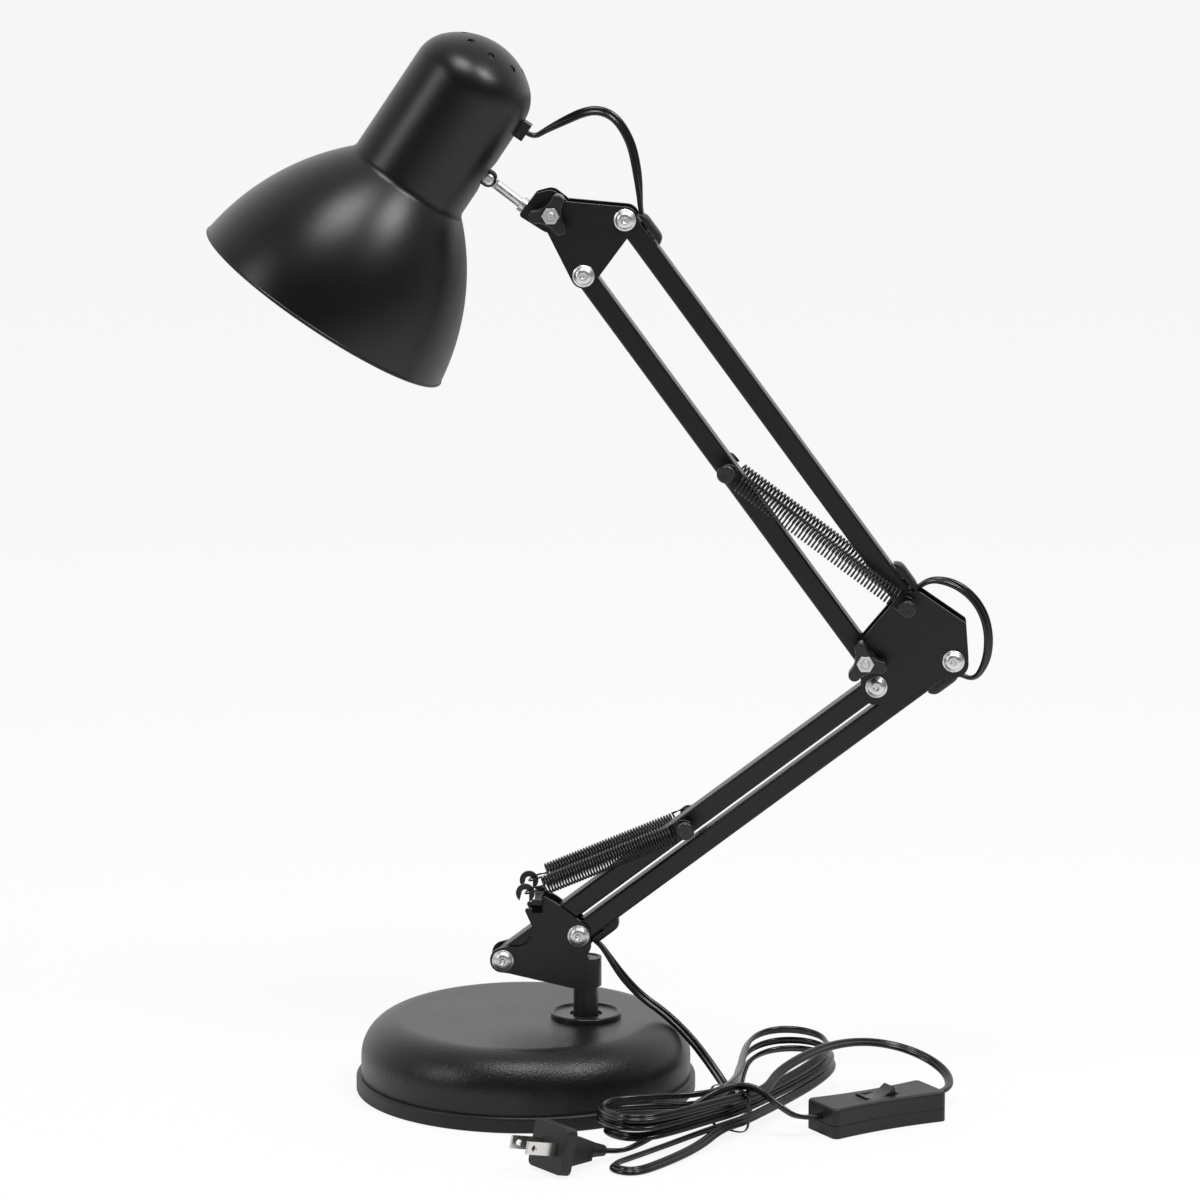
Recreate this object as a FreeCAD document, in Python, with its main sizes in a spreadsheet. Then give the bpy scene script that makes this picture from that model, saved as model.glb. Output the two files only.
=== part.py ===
# Accordion desk lamp: a weighted round base, two spring-balanced pairs of bars and a bell shade.
# Millimetres. +Z is up, the arms swing in the XZ plane, and the origin is the centre of the foot.
import FreeCAD, Part
import math
import os
import Sketcher

V = FreeCAD.Vector
Place = FreeCAD.Placement
Turn = FreeCAD.Rotation

doc = FreeCAD.newDocument("DeskLamp")

# ---------------------------------------------------------------------------
# Driving dimensions
# ---------------------------------------------------------------------------
DIMENSIONS = {
    # base
    "foot_radius": 85.2,
    "foot_height": 8,
    "foot_lip": 2,
    "cover_radius": 82.7,
    "cover_top": 37.2,
    "cover_shoulder": 20,
    "cover_wall": 1.2,
    "weight_thickness": 12.5,
    "pad_thickness": 2.4,
    "stem_offset": 30.3,
    "stem_radius": 6.25,
    "stem_low": 20.2,
    "stem_top": 67.6,
    "socket_bore": 6.3,
    "socket_hub": 9,
    "socket_flange": 17.6,
    # arms
    "bar_width": 10,
    "bar_depth": 12,
    "bar_wall": 1,
    "lower_length": 233.5,
    "lower_angle": 37.5,
    "upper_length": 235.4,
    "upper_angle": 126.3,
    "bracket_spread": 40.1,
    "bracket_slope": 19.4,
    "head_spread": 34.3,
    "head_slope": 53.8,
    "plate_inner": 6.3,
    "plate_thickness": 1.5,
    "pivot_radius": 2,
    "pivot_play": 0.06,
    "pin_radius": 2.5,
    "pin_reach": 21,
    "pin_cap_radius": 4.4,
    "pin_cap_length": 2.5,
    "lower_pin_place": 115.5,
    "upper_pin_place": 116.7,
    # fasteners and knobs
    "bolt_head_radius": 5.45,
    "nut_flats": 7,
    "nut_height": 3.2,
    "knob_tip_radius": 11,
    "knob_boss_radius": 5.5,
    "knob_boss_length": 3.5,
    "knob_head_length": 7.5,
    # head
    "rod_radius": 2.55,
    "ear_radius": 9.8,
    "shade_lean": 33.8,
    "shade_wall": 0.9,
    "mouth_radius": 68.3,
    "bell_depth": 73.7,
    "neck_radius": 30.9,
    "neck_length": 56.4,
    "dome_height": 24.2,
    "dome_shoulder": 19.5,
    "vent_radius": 1.8,
    "vent_circle": 17,
    # springs
    "spring_wire": 1,
    "spring_coil": 4.5,
    "spring_curls": 25,
    "spring_side": 13.5,
    # cord
    "cord_diameter": 3.6,
    "hank_turns": 3,
    "hank_step": 7,
    "hank_layer": 4.2,
    # switch and plug
    "switch_length": 66,
    "switch_width": 26,
    "switch_height": 15.2,
    "switch_seam": 6.5,
    "plug_face_width": 27,
    "plug_face_height": 23,
    "blade_length": 17.5,
    "blade_height": 6.35,
    "blade_thickness": 1.5,
    "blade_spread": 12.7,
}

sheet = doc.addObject("Spreadsheet::Sheet", "Dimensions")
for row, (alias, value) in enumerate(DIMENSIONS.items(), start=1):
    sheet.set(f"A{row}", alias)
    sheet.set(f"B{row}", str(value))
    sheet.setAlias(f"B{row}", alias)
doc.recompute()


def dim(alias):
    """A driving dimension, read from the sheet."""
    return float(sheet.get(alias))


def bind(obj, **sizes):
    """Bind each named property of obj to an expression, where a word is an alias of the sheet."""
    for prop, expression in sizes.items():
        obj.setExpression(prop, expression)


def cell(alias):
    return f"Dimensions.{alias}"


NODES = []


def node(obj, label, placement=None):
    """Mark obj as a sub-part: its label names its file."""
    obj.Label = label
    if placement is not None:
        obj.Placement = placement
    NODES.append(obj)
    return obj


# ---------------------------------------------------------------------------
# Places worked out from the driving dimensions
# ---------------------------------------------------------------------------
def polar(length, angle):
    """A step of that length in the XZ plane, angle in degrees above +X."""
    return V(length * math.cos(math.radians(angle)), 0, length * math.sin(math.radians(angle)))


lower_step = polar(dim("lower_length"), dim("lower_angle"))
upper_step = polar(dim("upper_length"), dim("upper_angle"))
bracket_step = polar(dim("bracket_spread"), dim("bracket_slope"))
head_step = polar(dim("head_spread"), dim("head_slope"))

BRACKET_REAR = V(-10.8, 0, 67.2)
BRACKET_FRONT = BRACKET_REAR + bracket_step
ELBOW_REAR = BRACKET_REAR + lower_step
ELBOW_FRONT = ELBOW_REAR + bracket_step
ELBOW_CLAMP = ELBOW_REAR + V(-5.4, 0, 13.6)
ELBOW_PIN = ELBOW_CLAMP + head_step
HEAD_LOW = ELBOW_CLAMP + upper_step
HEAD_HIGH = HEAD_LOW + head_step
HEAD_CLAMP = HEAD_LOW + V(-15.4, 0, 30.7)
HOOK = V(0.9, 0, 103.6)
SHADE_NECK = V(-56.8, 0, 457.7)
KNUCKLE = V(-17.1, 0, 459.3)
YOKE_WEB = V(2.4, 0, 444.4)

PLATE_INNER = dim("plate_inner")
PLATE = dim("plate_thickness")
PLATE_OUTER = PLATE_INNER + PLATE
SIDE = dim("spring_side")
CORD = dim("cord_diameter")


def swing(origin, angle):
    """The frame of a piece in the XZ plane: its own X points angle degrees above +X."""
    return Place(origin, Turn(V(0, -1, 0), angle))


# ---------------------------------------------------------------------------
# Sketches and features
# ---------------------------------------------------------------------------
def new_body(name):
    return doc.addObject("PartDesign::Body", name)


def new_sketch(body, role, offset=None):
    """A sketch on one of the body's own origin planes."""
    sketch = body.newObject("Sketcher::SketchObject", f"{body.Name}_sketch")
    plane = next(f for f in body.Origin.OriginFeatures if f.Role == role)
    sketch.AttachmentSupport = [(plane, "")]
    sketch.MapMode = "FlatFace"
    if offset is not None:
        sketch.AttachmentOffset = Place(offset, Turn())
    return sketch


def rounded_outline(corners):
    """Lines and arcs of the closed outline through corners (x, y, radius), each corner rounded."""
    points = [V(x, y, 0) for x, y, _ in corners]
    rounds = []
    for index, (x, y, radius) in enumerate(corners):
        here = points[index]
        back = (points[index - 1] - here).normalize()
        ahead = (points[(index + 1) % len(points)] - here).normalize()
        half = back.getAngle(ahead) / 2
        reach = radius / math.tan(half)
        centre = here + (back + ahead).normalize() * (radius / math.sin(half))
        middle = centre + (here - centre).normalize() * radius
        rounds.append((here + back * reach, middle, here + ahead * reach))
    edges = []
    for index, (start, middle, end) in enumerate(rounds):
        if start.distanceToPoint(end) > 1e-6:
            edges.append(Part.Arc(start, middle, end))
        follows = rounds[(index + 1) % len(rounds)][0]
        if end.distanceToPoint(follows) > 1e-6:
            edges.append(Part.LineSegment(end, follows))
    return edges


def hull_corners(centres, radius):
    """Corners of the outline that wraps equal circles at centres, given counter-clockwise."""
    corners = []
    count = len(centres)
    for index in range(count):
        before, here, after = centres[index - 1], centres[index], centres[(index + 1) % count]
        into = math.atan2(here[1] - before[1], here[0] - before[0])
        out = math.atan2(after[1] - here[1], after[0] - here[0])
        normal = (into + (out - into) % (2 * math.pi) / 2) - math.pi / 2
        far = radius / math.cos(((out - into) % (2 * math.pi)) / 2)
        corners.append((here[0] + far * math.cos(normal), here[1] + far * math.sin(normal), radius))
    return corners


def hole_in(sketch, x, y, radius_expression, label):
    """A round hole in a sketch, its radius bound to the sheet and its centre fixed."""
    index = sketch.addGeometry(Part.Circle(V(x, y, 0), V(0, 0, 1), 1))
    constraint = sketch.addConstraint(Sketcher.Constraint("Radius", index, 1.0))
    sketch.renameConstraint(constraint, label)
    sketch.setExpression(f".Constraints.{label}", radius_expression)


def padded_body(name, edges, holes, length, reversed_=False):
    """A body padded from an outline in its XZ plane, towards -Y. holes are (x, y, radius expression)."""
    body = new_body(name)
    sketch = new_sketch(body, "XZ_Plane")
    for edge in edges:
        sketch.addGeometry(edge)
    for number, (x, y, radius) in enumerate(holes):
        hole_in(sketch, x, y, radius, f"hole_{number}")
    pad = body.newObject("PartDesign::Pad", f"{name}_pad")
    pad.Profile = sketch
    pad.Reversed = reversed_
    bind(pad, Length=length)
    return body


def profile_edges(profile):
    """Edges of a closed profile. profile is a list of points, and (middle, end) pairs where it curves."""
    edges = []
    here = V(*profile[0])
    for step in profile[1:] + [profile[0]]:
        if isinstance(step[0], tuple):
            middle, end = V(*step[0]), V(*step[1])
            edges.append(Part.Arc(here, middle, end))
        else:
            end = V(*step)
            edges.append(Part.LineSegment(here, end))
        here = end
    return edges


def turned_body(name, edges):
    """A body turned about its own Z from half its section, drawn in the XZ plane."""
    body = new_body(name)
    sketch = new_sketch(body, "XZ_Plane")
    for edge in edges:
        sketch.addGeometry(edge)
    turned = body.newObject("PartDesign::Revolution", f"{name}_revolution")
    turned.Profile = sketch
    turned.ReferenceAxis = (sketch, ["V_Axis"])
    turned.Angle = 360
    return body


def round_edges(body, radius, wanted):
    """Fillet the edges of the body's last feature for which wanted(edge) holds."""
    doc.recompute()
    last = body.Tip
    names = [f"Edge{i}" for i, edge in enumerate(last.Shape.Edges, start=1) if wanted(edge)]
    fillet = body.newObject("PartDesign::Fillet", f"{body.Name}_fillet")
    fillet.Base = (last, names)
    bind(fillet, Radius=radius)
    return fillet


def block(name, low, high):
    """A box between two corners. Each coordinate is a number or an expression."""
    box = doc.addObject("Part::Box", name)
    for side, start, end in zip(("Length", "Width", "Height"), low, high):
        box.setExpression(side, f"({end}) - ({start})")
    for axis, start in zip("xyz", low):
        box.setExpression(f".Placement.Base.{axis}", f"{start}")
    return box


def rod(name, radius, length, start=V(0, 0, 0), along=V(0, 0, 1)):
    """A cylinder of bound radius and length, from start along a direction."""
    cylinder = doc.addObject("Part::Cylinder", name)
    bind(cylinder, Radius=f"{radius}", Height=f"{length}")
    cylinder.Placement = Place(start, Turn(V(0, 0, 1), along))
    return cylinder


def cut(name, base, *tools):
    """base less its tools."""
    result = doc.addObject("Part::Cut", name)
    result.Base = base
    result.Tool = tools[0] if len(tools) == 1 else join(f"{name}_tools", *tools)
    return result


def join(name, *shapes):
    result = doc.addObject("Part::MultiFuse", name)
    result.Shapes = list(shapes)
    return result


def group(name, *members):
    """Separate solids in one sub-part, such as a set of like fasteners."""
    result = doc.addObject("Part::Compound", name)
    result.Links = list(members)
    return result


# ---------------------------------------------------------------------------
# Wires of arcs
# ---------------------------------------------------------------------------
def arc_middle(start, tangent, end):
    """The middle of the arc from start, leaving along tangent, to end, or None where that is straight."""
    chord = end - start
    side = chord - tangent * chord.dot(tangent)
    if side.Length < 1e-7 * chord.Length:
        return None
    inward = side.normalize()
    radius = chord.dot(chord) / (2 * inward.dot(chord))
    centre = start + inward * radius
    to_start = (start - centre).normalize()
    to_end = (end - centre).normalize()
    towards = to_start + to_end
    if towards.Length < 1e-6:
        towards = tangent
    turned_over = -1 if chord.dot(tangent) < 0 else 1
    return centre + towards.normalize() * radius * turned_over


def arc_through(start, tangent, end):
    """The arc from start, leaving along tangent, to end."""
    middle = arc_middle(start, tangent, end)
    return Part.LineSegment(start, end) if middle is None else Part.Arc(start, middle, end)


def biarc(start, leaving, end, arriving):
    """Two arcs from start to end that meet smoothly and keep both end tangents."""
    chord = end - start
    both = leaving + arriving
    spread = 2 * (1 - leaving.dot(arriving))
    if spread < 1e-9:
        reach = chord.dot(chord) / (4 * chord.dot(arriving))
    else:
        along = chord.dot(both)
        reach = (math.sqrt(along * along + spread * chord.dot(chord)) - along) / spread
    joint = (start + end + (leaving - arriving) * reach) * 0.5
    backward = arc_middle(end, arriving * -1, joint)
    second = Part.LineSegment(joint, end) if backward is None else Part.Arc(joint, backward, end)
    return [arc_through(start, leaving, joint), second]


def curve_wire(curve, parameters):
    """A wire of biarcs through curve(p) at the parameters, with the curve's own tangents there."""
    nudge = 1e-4

    def tangent(p):
        return (curve(p + nudge) - curve(p - nudge)).normalize()

    edges = []
    for first, second in zip(parameters, parameters[1:]):
        edges += biarc(curve(first), tangent(first), curve(second), tangent(second))
    return edges


def tube_shape(edges, radius):
    """A round tube along a smooth wire, and the wire."""
    wire = Part.Wire([edge.toShape() for edge in edges])
    first = edges[0].toShape()
    start = first.valueAt(first.FirstParameter)
    heading = first.tangentAt(first.FirstParameter)
    section = Part.Wire([Part.Circle(start, heading, radius).toShape()])
    return wire.makePipeShell([section], True, False), wire


def tube(label, edges, radius):
    """A tube sub-part. Its volume is compared with its section times its length."""
    shape, wire = tube_shape(edges, radius)
    feature = doc.addObject("Part::Feature", label)
    feature.Shape = shape
    share = shape.Volume / (math.pi * radius**2 * wire.Length)
    print(f"{label}: length {wire.Length:.1f}, volume over section x length {share:.4f}")
    return node(feature, label)


def route_edges(label, points):
    """Straight runs and tangent arcs along a route. Each arc's radius is 0.45 of the shorter run beside it,
    over the tangent of half the turn."""
    radii = []
    edges = []
    here = points[0]
    for index in range(1, len(points) - 1):
        before, corner, after = points[index - 1], points[index], points[index + 1]
        back = before - corner
        ahead = after - corner
        turn = math.pi - back.getAngle(ahead)
        shorter = min(back.Length, ahead.Length)
        radius = 0.45 * shorter / math.tan(turn / 2)
        reach = radius * math.tan(turn / 2)
        back.normalize()
        ahead.normalize()
        start = corner + back * reach
        end = corner + ahead * reach
        centre = corner + (back + ahead).normalize() * (radius / math.cos(turn / 2))
        middle = centre + (corner - centre).normalize() * radius
        edges.append(Part.LineSegment(here, start))
        edges.append(Part.Arc(start, middle, end))
        here = end
        radii.append(radius)
    edges.append(Part.LineSegment(here, points[-1]))
    print(f"{label}: radii {', '.join(f'{r:.0f}' for r in radii)}")
    return edges


# ---------------------------------------------------------------------------
# Base
# ---------------------------------------------------------------------------
def make_base():
    radius = dim("cover_radius")
    top = dim("cover_top")
    shoulder = dim("cover_shoulder")
    wall = dim("cover_wall")
    lip = dim("foot_lip")
    foot = dim("foot_radius")
    diagonal = math.sqrt(0.5)
    centre = (radius - shoulder, top - shoulder)
    outer_middle = (centre[0] + shoulder * diagonal, centre[1] + shoulder * diagonal, 0)
    inner_middle = (
        centre[0] + (shoulder - wall) * diagonal,
        centre[1] + (shoulder - wall) * diagonal,
        0,
    )
    cover = turned_body("cover_shell", profile_edges([
        (radius - wall, lip, 0),
        (radius, lip, 0),
        (radius, centre[1], 0),
        (outer_middle, (centre[0], top, 0)),
        (0, top, 0),
        (0, top - wall, 0),
        (centre[0], top - wall, 0),
        (inner_middle, (radius - wall, centre[1], 0)),
    ]))
    opening = rod("cover_opening", f"{cell('socket_hub')} + 0.1", 10, V(dim("stem_offset"), 0, top - 5))
    node(cut("cover_cut", cover, opening), "base_cover")

    weight = rod("weight_disc", f"{cell('cover_radius')} - {cell('cover_wall')} - 0.2", cell("weight_thickness"),
                 V(0, 0, dim("pad_thickness")))
    room = rod("weight_room", 16, 40, V(dim("stem_offset"), 0, 0))
    node(cut("weight_cut", weight, room), "base_weight")

    pad = rod("pad_disc", "77.8", cell("pad_thickness"))
    node(pad, "base_pad")

    ring = turned_body("foot_profile", profile_edges([
        (78, 0, 0),
        (foot - 0.8, 0, 0),
        ((foot - 0.2, 0.3, 0), (foot, 1, 0)),
        (foot, dim("foot_height") - 1.2, 0),
        ((foot - 0.4, dim("foot_height") - 0.4, 0), (foot - 1.2, dim("foot_height"), 0)),
        (radius, dim("foot_height"), 0),
        (radius, lip, 0),
        (78, lip, 0),
    ]))
    node(ring, "foot_ring")

    bore = dim("socket_bore")
    hub = dim("socket_hub")
    flange = dim("socket_flange")
    socket = turned_body("socket_profile", profile_edges([
        (0, 18, 0),
        (hub, 18, 0),
        (hub, top, 0),
        (flange, top, 0),
        (flange, top + 2, 0),
        ((flange - 0.5, top + 2.5, 0), (flange - 1, top + 2.6, 0)),
        (flange - 1.8, top + 1.5, 0),
        (bore + 1.8, top + 1.5, 0),
        (bore + 1.8, top + 0.3, 0),
        (bore, top + 0.3, 0),
        (bore, 20, 0),
        (0, 20, 0),
    ]))
    node(socket, "stem_socket", Place(V(dim("stem_offset"), 0, 0), Turn()))

    nut = doc.addObject("Part::Prism", "socket_nut_prism")
    nut.Polygon = 6
    nut.Circumradius = 14
    nut.Height = 5
    nut.Placement = Place(V(dim("stem_offset"), 0, top - wall - 5), Turn())
    nut_bore = rod("socket_nut_bore", f"{cell('socket_hub')} + 0.05", 8,
                   V(dim("stem_offset"), 0, top - wall - 6))
    node(cut("socket_nut_cut", nut, nut_bore), "socket_nut")


# ---------------------------------------------------------------------------
# Fasteners
# ---------------------------------------------------------------------------
HEAD_FORWARD = Turn(V(1, 0, 0), 90)
HEAD_BACKWARD = Turn(V(1, 0, 0), -90)


def bolt(name, place, grip, facing=HEAD_FORWARD):
    """A flanged dome bolt with a centre dimple. Its head sits on the plate's outer face at place."""
    shank = dim("pivot_radius")
    head = dim("bolt_head_radius")
    body = turned_body(name, profile_edges([
        (0, -grip, 0),
        (shank - 0.3, -grip, 0),
        (shank, -grip + 0.5, 0),
        (shank, 0, 0),
        (head, 0, 0),
        (head, 0.9, 0),
        (head - 0.9, 1.3, 0),
        ((3.6, 2.4, 0), (1.5, 2.9, 0)),
        (1.0, 2.1, 0),
        (0, 2.1, 0),
    ]))
    body.Placement = Place(place, facing)
    return body


def hex_nut(name, place, height, facing, flats="nut_flats"):
    """A hex nut on a pivot bolt, its face at place."""
    prism = doc.addObject("Part::Prism", f"{name}_prism")
    prism.Polygon = 6
    bind(prism, Circumradius=f"{cell(flats)} / sqrt(3)", Height=height)
    bore = rod(f"{name}_bore", f"{cell('pivot_radius')} + 0.05", 30, V(0, 0, -10))
    nut = cut(name, prism, bore)
    nut.Placement = Place(place, facing)
    return nut


def pivot_set(label, pivots):
    """Bolts through both plates at the pivots, and their nuts on the far side."""
    front = V(0, -PLATE_OUTER, 0)
    rear = V(0, PLATE_OUTER, 0)
    grip = 2 * PLATE_OUTER + dim("nut_height") + 1
    bolts = [bolt(f"{label}_bolt_{i}", pivot + front, grip) for i, pivot in enumerate(pivots)]
    nuts = [
        hex_nut(f"{label}_nut_{i}", pivot + rear, cell("nut_height"), HEAD_BACKWARD)
        for i, pivot in enumerate(pivots)
    ]
    node(group(f"{label}_bolt_group", *bolts), f"{label}_bolts")
    node(group(f"{label}_nut_group", *nuts), f"{label}_nuts")


def spring_pin(label, place):
    """A through pin with a cap on each end, which the spring ends hook over."""
    shank = dim("pin_radius")
    cap = dim("pin_cap_radius")
    reach = dim("pin_reach")
    neck = reach - dim("pin_cap_length")
    half = [
        (cap, -neck, 0),
        (shank, -neck, 0),
        (shank, neck, 0),
        (cap, neck, 0),
        (cap, reach - 0.7, 0),
        (cap - 0.7, reach, 0),
        (1, reach, 0),
        (0, reach - 0.5, 0),
        (0, -reach + 0.5, 0),
        (1, -reach, 0),
        (cap - 0.7, -reach, 0),
        (cap, -reach + 0.7, 0),
    ]
    return node(turned_body(f"{label}_profile", profile_edges(half)), label, Place(place, HEAD_FORWARD))


# ---------------------------------------------------------------------------
# Stem and bracket
# ---------------------------------------------------------------------------
def make_swivel():
    stem = dim("stem_offset")
    low = dim("stem_low")
    stem_rod = rod("stem_rod", cell("stem_radius"), f"{cell('stem_top')} - {cell('stem_low')}", V(stem, 0, low))
    node(stem_rod, "stem")

    front = BRACKET_FRONT
    rear = BRACKET_REAR
    web_low = 53.4
    web_high = 68
    play = f"{cell('pivot_radius')} + {cell('pivot_play')}"
    outline = rounded_outline([
        (stem, web_low, 0.01),
        (stem, web_high, 0.01),
        (front.x + 6.4, 74.5, 4),
        (front.x + 5.6, 84.5, 5),
        (15.6, 97.2, 8),
        (9.6, 100.6, 1),
        (6.5, 93.6, 1),
        (-0.3, 94.2, 1),
        (4.0, 84.5, 2),
        (2.4, 73.6, 8),
        (-8.2, 74.6, 5),
        (-17.6, 72.0, 6),
        (-17.0, 61.6, 6),
        (-8.0, 60.6, 6),
        (23.9, web_low, 2),
    ])
    cheek_holes = [(rear.x, rear.z, play), (front.x, front.z, play)]
    cheeks = []
    for side, name in ((-1, "front_cheek"), (1, "rear_cheek")):
        cheek = padded_body(name, outline, cheek_holes, cell("plate_thickness"), reversed_=side > 0)
        cheek.Placement = Place(V(0, side * PLATE_INNER, 0), Turn())
        cheeks.append(cheek)
    web_tube = cut(
        "web_tube",
        rod("web_outside", f"{cell('plate_inner')} + {cell('plate_thickness')}", web_high - web_low,
            V(stem, 0, web_low)),
        rod("web_inside", cell("plate_inner"), 40, V(stem, 0, web_low - 5)),
        block("web_half", (stem - 20, -20, web_low - 5), (stem, 20, web_high + 5)),
    )
    pieces = cheeks + [web_tube]
    for side, name in ((-1, "front_hook"), (1, "rear_hook")):
        pieces += spring_hook(name, side)
    node(join("bracket_sheet", *pieces), "arm_bracket")
    pivot_set("bracket", [rear, front])


def spring_hook(name, side):
    """A curled hook of the bracket's sheet, set out sideways to the spring by a sloping neck."""
    slope_low = 92.0
    slope_high = 97.6
    reach = SIDE - PLATE / 2
    neck = new_body(f"{name}_neck")
    sketch = new_sketch(neck, "YZ_Plane", V(0, 0, 4.0))
    inner = side * PLATE_INNER
    far = side * reach
    thick = side * PLATE
    for edge in profile_edges([
        (inner, slope_low - 3, 0),
        (inner + thick, slope_low - 3, 0),
        (inner + thick, slope_low, 0),
        (far + thick, slope_high, 0),
        (far + thick, slope_high + 2.6, 0),
        (far, slope_high + 2.6, 0),
        (far, slope_high + 0.4, 0),
        (inner, slope_low + 0.4, 0),
    ]):
        sketch.addGeometry(edge)
    pad = neck.newObject("PartDesign::Pad", f"{name}_neck_pad")
    pad.Profile = sketch
    pad.Length = 5
    curl = cut(
        f"{name}_curl",
        rod(f"{name}_outside", 4.7, cell("plate_thickness"), HOOK + V(0, far, 0), V(0, side, 0)),
        rod(f"{name}_inside", 1.9, 4, HOOK + V(0, far - side, 0), V(0, side, 0)),
        mouth_wedge(f"{name}_mouth", far - side, side),
    )
    return [neck, curl]


def mouth_wedge(name, level, side):
    """The hook's mouth: a slot out of the curl, downwards."""
    slot = padded_body(name, profile_edges([
        (HOOK.x - 1.9, HOOK.z, 0),
        (HOOK.x - 3.4, HOOK.z - 6, 0),
        (HOOK.x + 1.9, HOOK.z - 6, 0),
        (HOOK.x + 1.9, HOOK.z, 0),
    ]), [], "4", reversed_=side > 0)
    slot.Placement = Place(V(0, level, 0), Turn())
    return slot


# ---------------------------------------------------------------------------
# Bars
# ---------------------------------------------------------------------------
CLIP_START = 5
CLIP_END = 21
SLOT_START = 5.5
SLOT_END = 17
CAP_REACH = 8.6


def bar_end(length, at_far_end):
    """The frame of a bar's end: X runs along the bar from its pivot, -Z is the bar's cable side."""
    if at_far_end:
        return Place(V(length, 0, 0), Turn(V(0, 0, 1), 180))
    return Place()


def make_bar(label, pivot, angle, length, pin=None, far_play=None, near_play=None, slotted=False):
    """A square tube with rounded ends, a pivot hole at each end and, on a cable bar, two cable slots."""
    size = dim(length)
    half = dim("bar_width") / 2
    play = f"{cell('pivot_radius')} + {cell('pivot_play')}"
    holes = [(0, 0, near_play or play), (size, 0, far_play or play)]
    if pin is not None:
        holes.append((dim(pin), 0, f"{cell('pin_radius')} + 0.05"))
    outline = rounded_outline([
        (-half, -half, half - 0.001),
        (size + half, -half, half - 0.001),
        (size + half, half, half - 0.001),
        (-half, half, half - 0.001),
    ])
    solid = padded_body(f"{label}_solid", outline, holes, cell("bar_depth"))
    solid.Placement = Place(V(0, dim("bar_depth") / 2, 0), Turn())
    faces = (0.0, -dim("bar_depth"))
    round_edges(solid, "1.2", lambda edge: any(
        all(abs(vertex.Point.y - face) < 1e-6 for vertex in edge.Vertexes) for face in faces
    ) and not isinstance(edge.Curve, Part.Circle) or (
        isinstance(edge.Curve, Part.Circle) and edge.Curve.Radius > half - 0.01
    ))
    wall = cell("bar_wall")
    deep = f"({cell('bar_depth')} / 2 - {wall})"
    wide = f"({cell('bar_width')} / 2 - {wall})"
    tools = [block(f"{label}_bore", (-20, f"-{deep}", f"-{wide}"), (f"{cell(length)} + 20", deep, wide))]
    if slotted:
        for far in (False, True):
            slot = block(f"{label}_slot_{int(far)}", (SLOT_START, -2.4, -9), (SLOT_END, 2.4, 0))
            clear_expressions(slot)
            slot.Placement = bar_end(size, far).multiply(slot.Placement)
            tools.append(slot)
    bar = cut(f"{label}_tube", solid, *tools)
    return node(bar, label, swing(pivot, angle))


def clear_expressions(box):
    """Keep the box's sizes bound and free its place, so that it can be set."""
    doc.recompute()
    for axis in "xyz":
        box.setExpression(f".Placement.Base.{axis}", None)


def cable_clips(label, pivot, angle, length):
    """The two strips that cover a cable bar's slots, with a hood at the cable's way out, and its end cap."""
    size = dim(length)
    face = dim("bar_width") / 2
    members = []
    for far in (False, True):
        outline = rounded_outline([
            (CLIP_START, -face, 0.01),
            (CLIP_START, -face - 2.2, 1),
            (CLIP_START + 2.5, -face - 4.9, 1.5),
            (CLIP_START + 6, -face - 4.9, 2),
            (CLIP_END - 6, -face - 2.2, 3),
            (CLIP_END, -face - 2.2, 1.8),
            (CLIP_END, -face, 0.01),
        ])
        body = padded_body(f"{label}_strip_{int(far)}", outline, [], "9")
        body.Placement = Place(V(0, 4.5, 0), Turn())
        way = block(f"{label}_way_{int(far)}", (CLIP_START - 5, -2.3, -face - 3.9),
                    (SLOT_END - 3, 2.3, -face + 1))
        clip = cut(f"{label}_clip_{int(far)}", body, way)
        clip.Placement = bar_end(size, far)
        members.append(clip)
    cap_outline = rounded_outline([
        (-CAP_REACH, 4.6, 2.5),
        (-CAP_REACH, -face - 3.8, 3.2),
        (-4.2, -face - 3.8, 2.5),
        (-1.5, -face - 1.1, 0.5),
        (-1.5, -face - 0.1, 0.01),
        (-3.8, -face - 0.1, 2),
        (-face - 0.35, -2.4, 2.5),
        (-face - 0.35, 4.6, 0.01),
    ])
    cap = padded_body(f"{label}_cap", cap_outline, [], "10.4")
    cap.Placement = bar_end(size, True).multiply(Place(V(0, 5.2, 0), Turn()))
    members.append(cap)
    node(group(f"{label}_group", *members), label, swing(pivot, angle))


LEAD_HEIGHT = 1.95


def lead_points(length):
    """The inner lead's route in its bar's frame: under one clip, through the bore, out under the other."""
    face = -dim("bar_width") / 2
    size = dim(length)
    outside = face - LEAD_HEIGHT
    inside = -0.6
    near = [V(CLIP_START, 0, outside), V(CLIP_START + 2.2, 0, outside), V(SLOT_END - 3.2, 0, inside)]
    far = [V(size - p.x, 0, p.z) for p in reversed(near)]
    return near + [V(size / 2, 0, inside - 0.4)] + far


def make_lead(label, pivot, angle, length):
    edges = route_edges(label, lead_points(length))
    lead = tube(label, edges, CORD / 2)
    lead.Placement = swing(pivot, angle)


def make_lower_arm():
    angle = dim("lower_angle")
    make_bar("lower_rear_bar", BRACKET_REAR, angle, "lower_length", pin="lower_pin_place")
    spring_pin("lower_spring_pin", BRACKET_REAR + polar(dim("lower_pin_place"), angle))
    make_bar("lower_front_bar", BRACKET_FRONT, angle, "lower_length", slotted=True)
    cable_clips("lower_bar_clips", BRACKET_FRONT, angle, "lower_length")
    make_lead("lower_lead", BRACKET_FRONT, angle, "lower_length")


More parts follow.
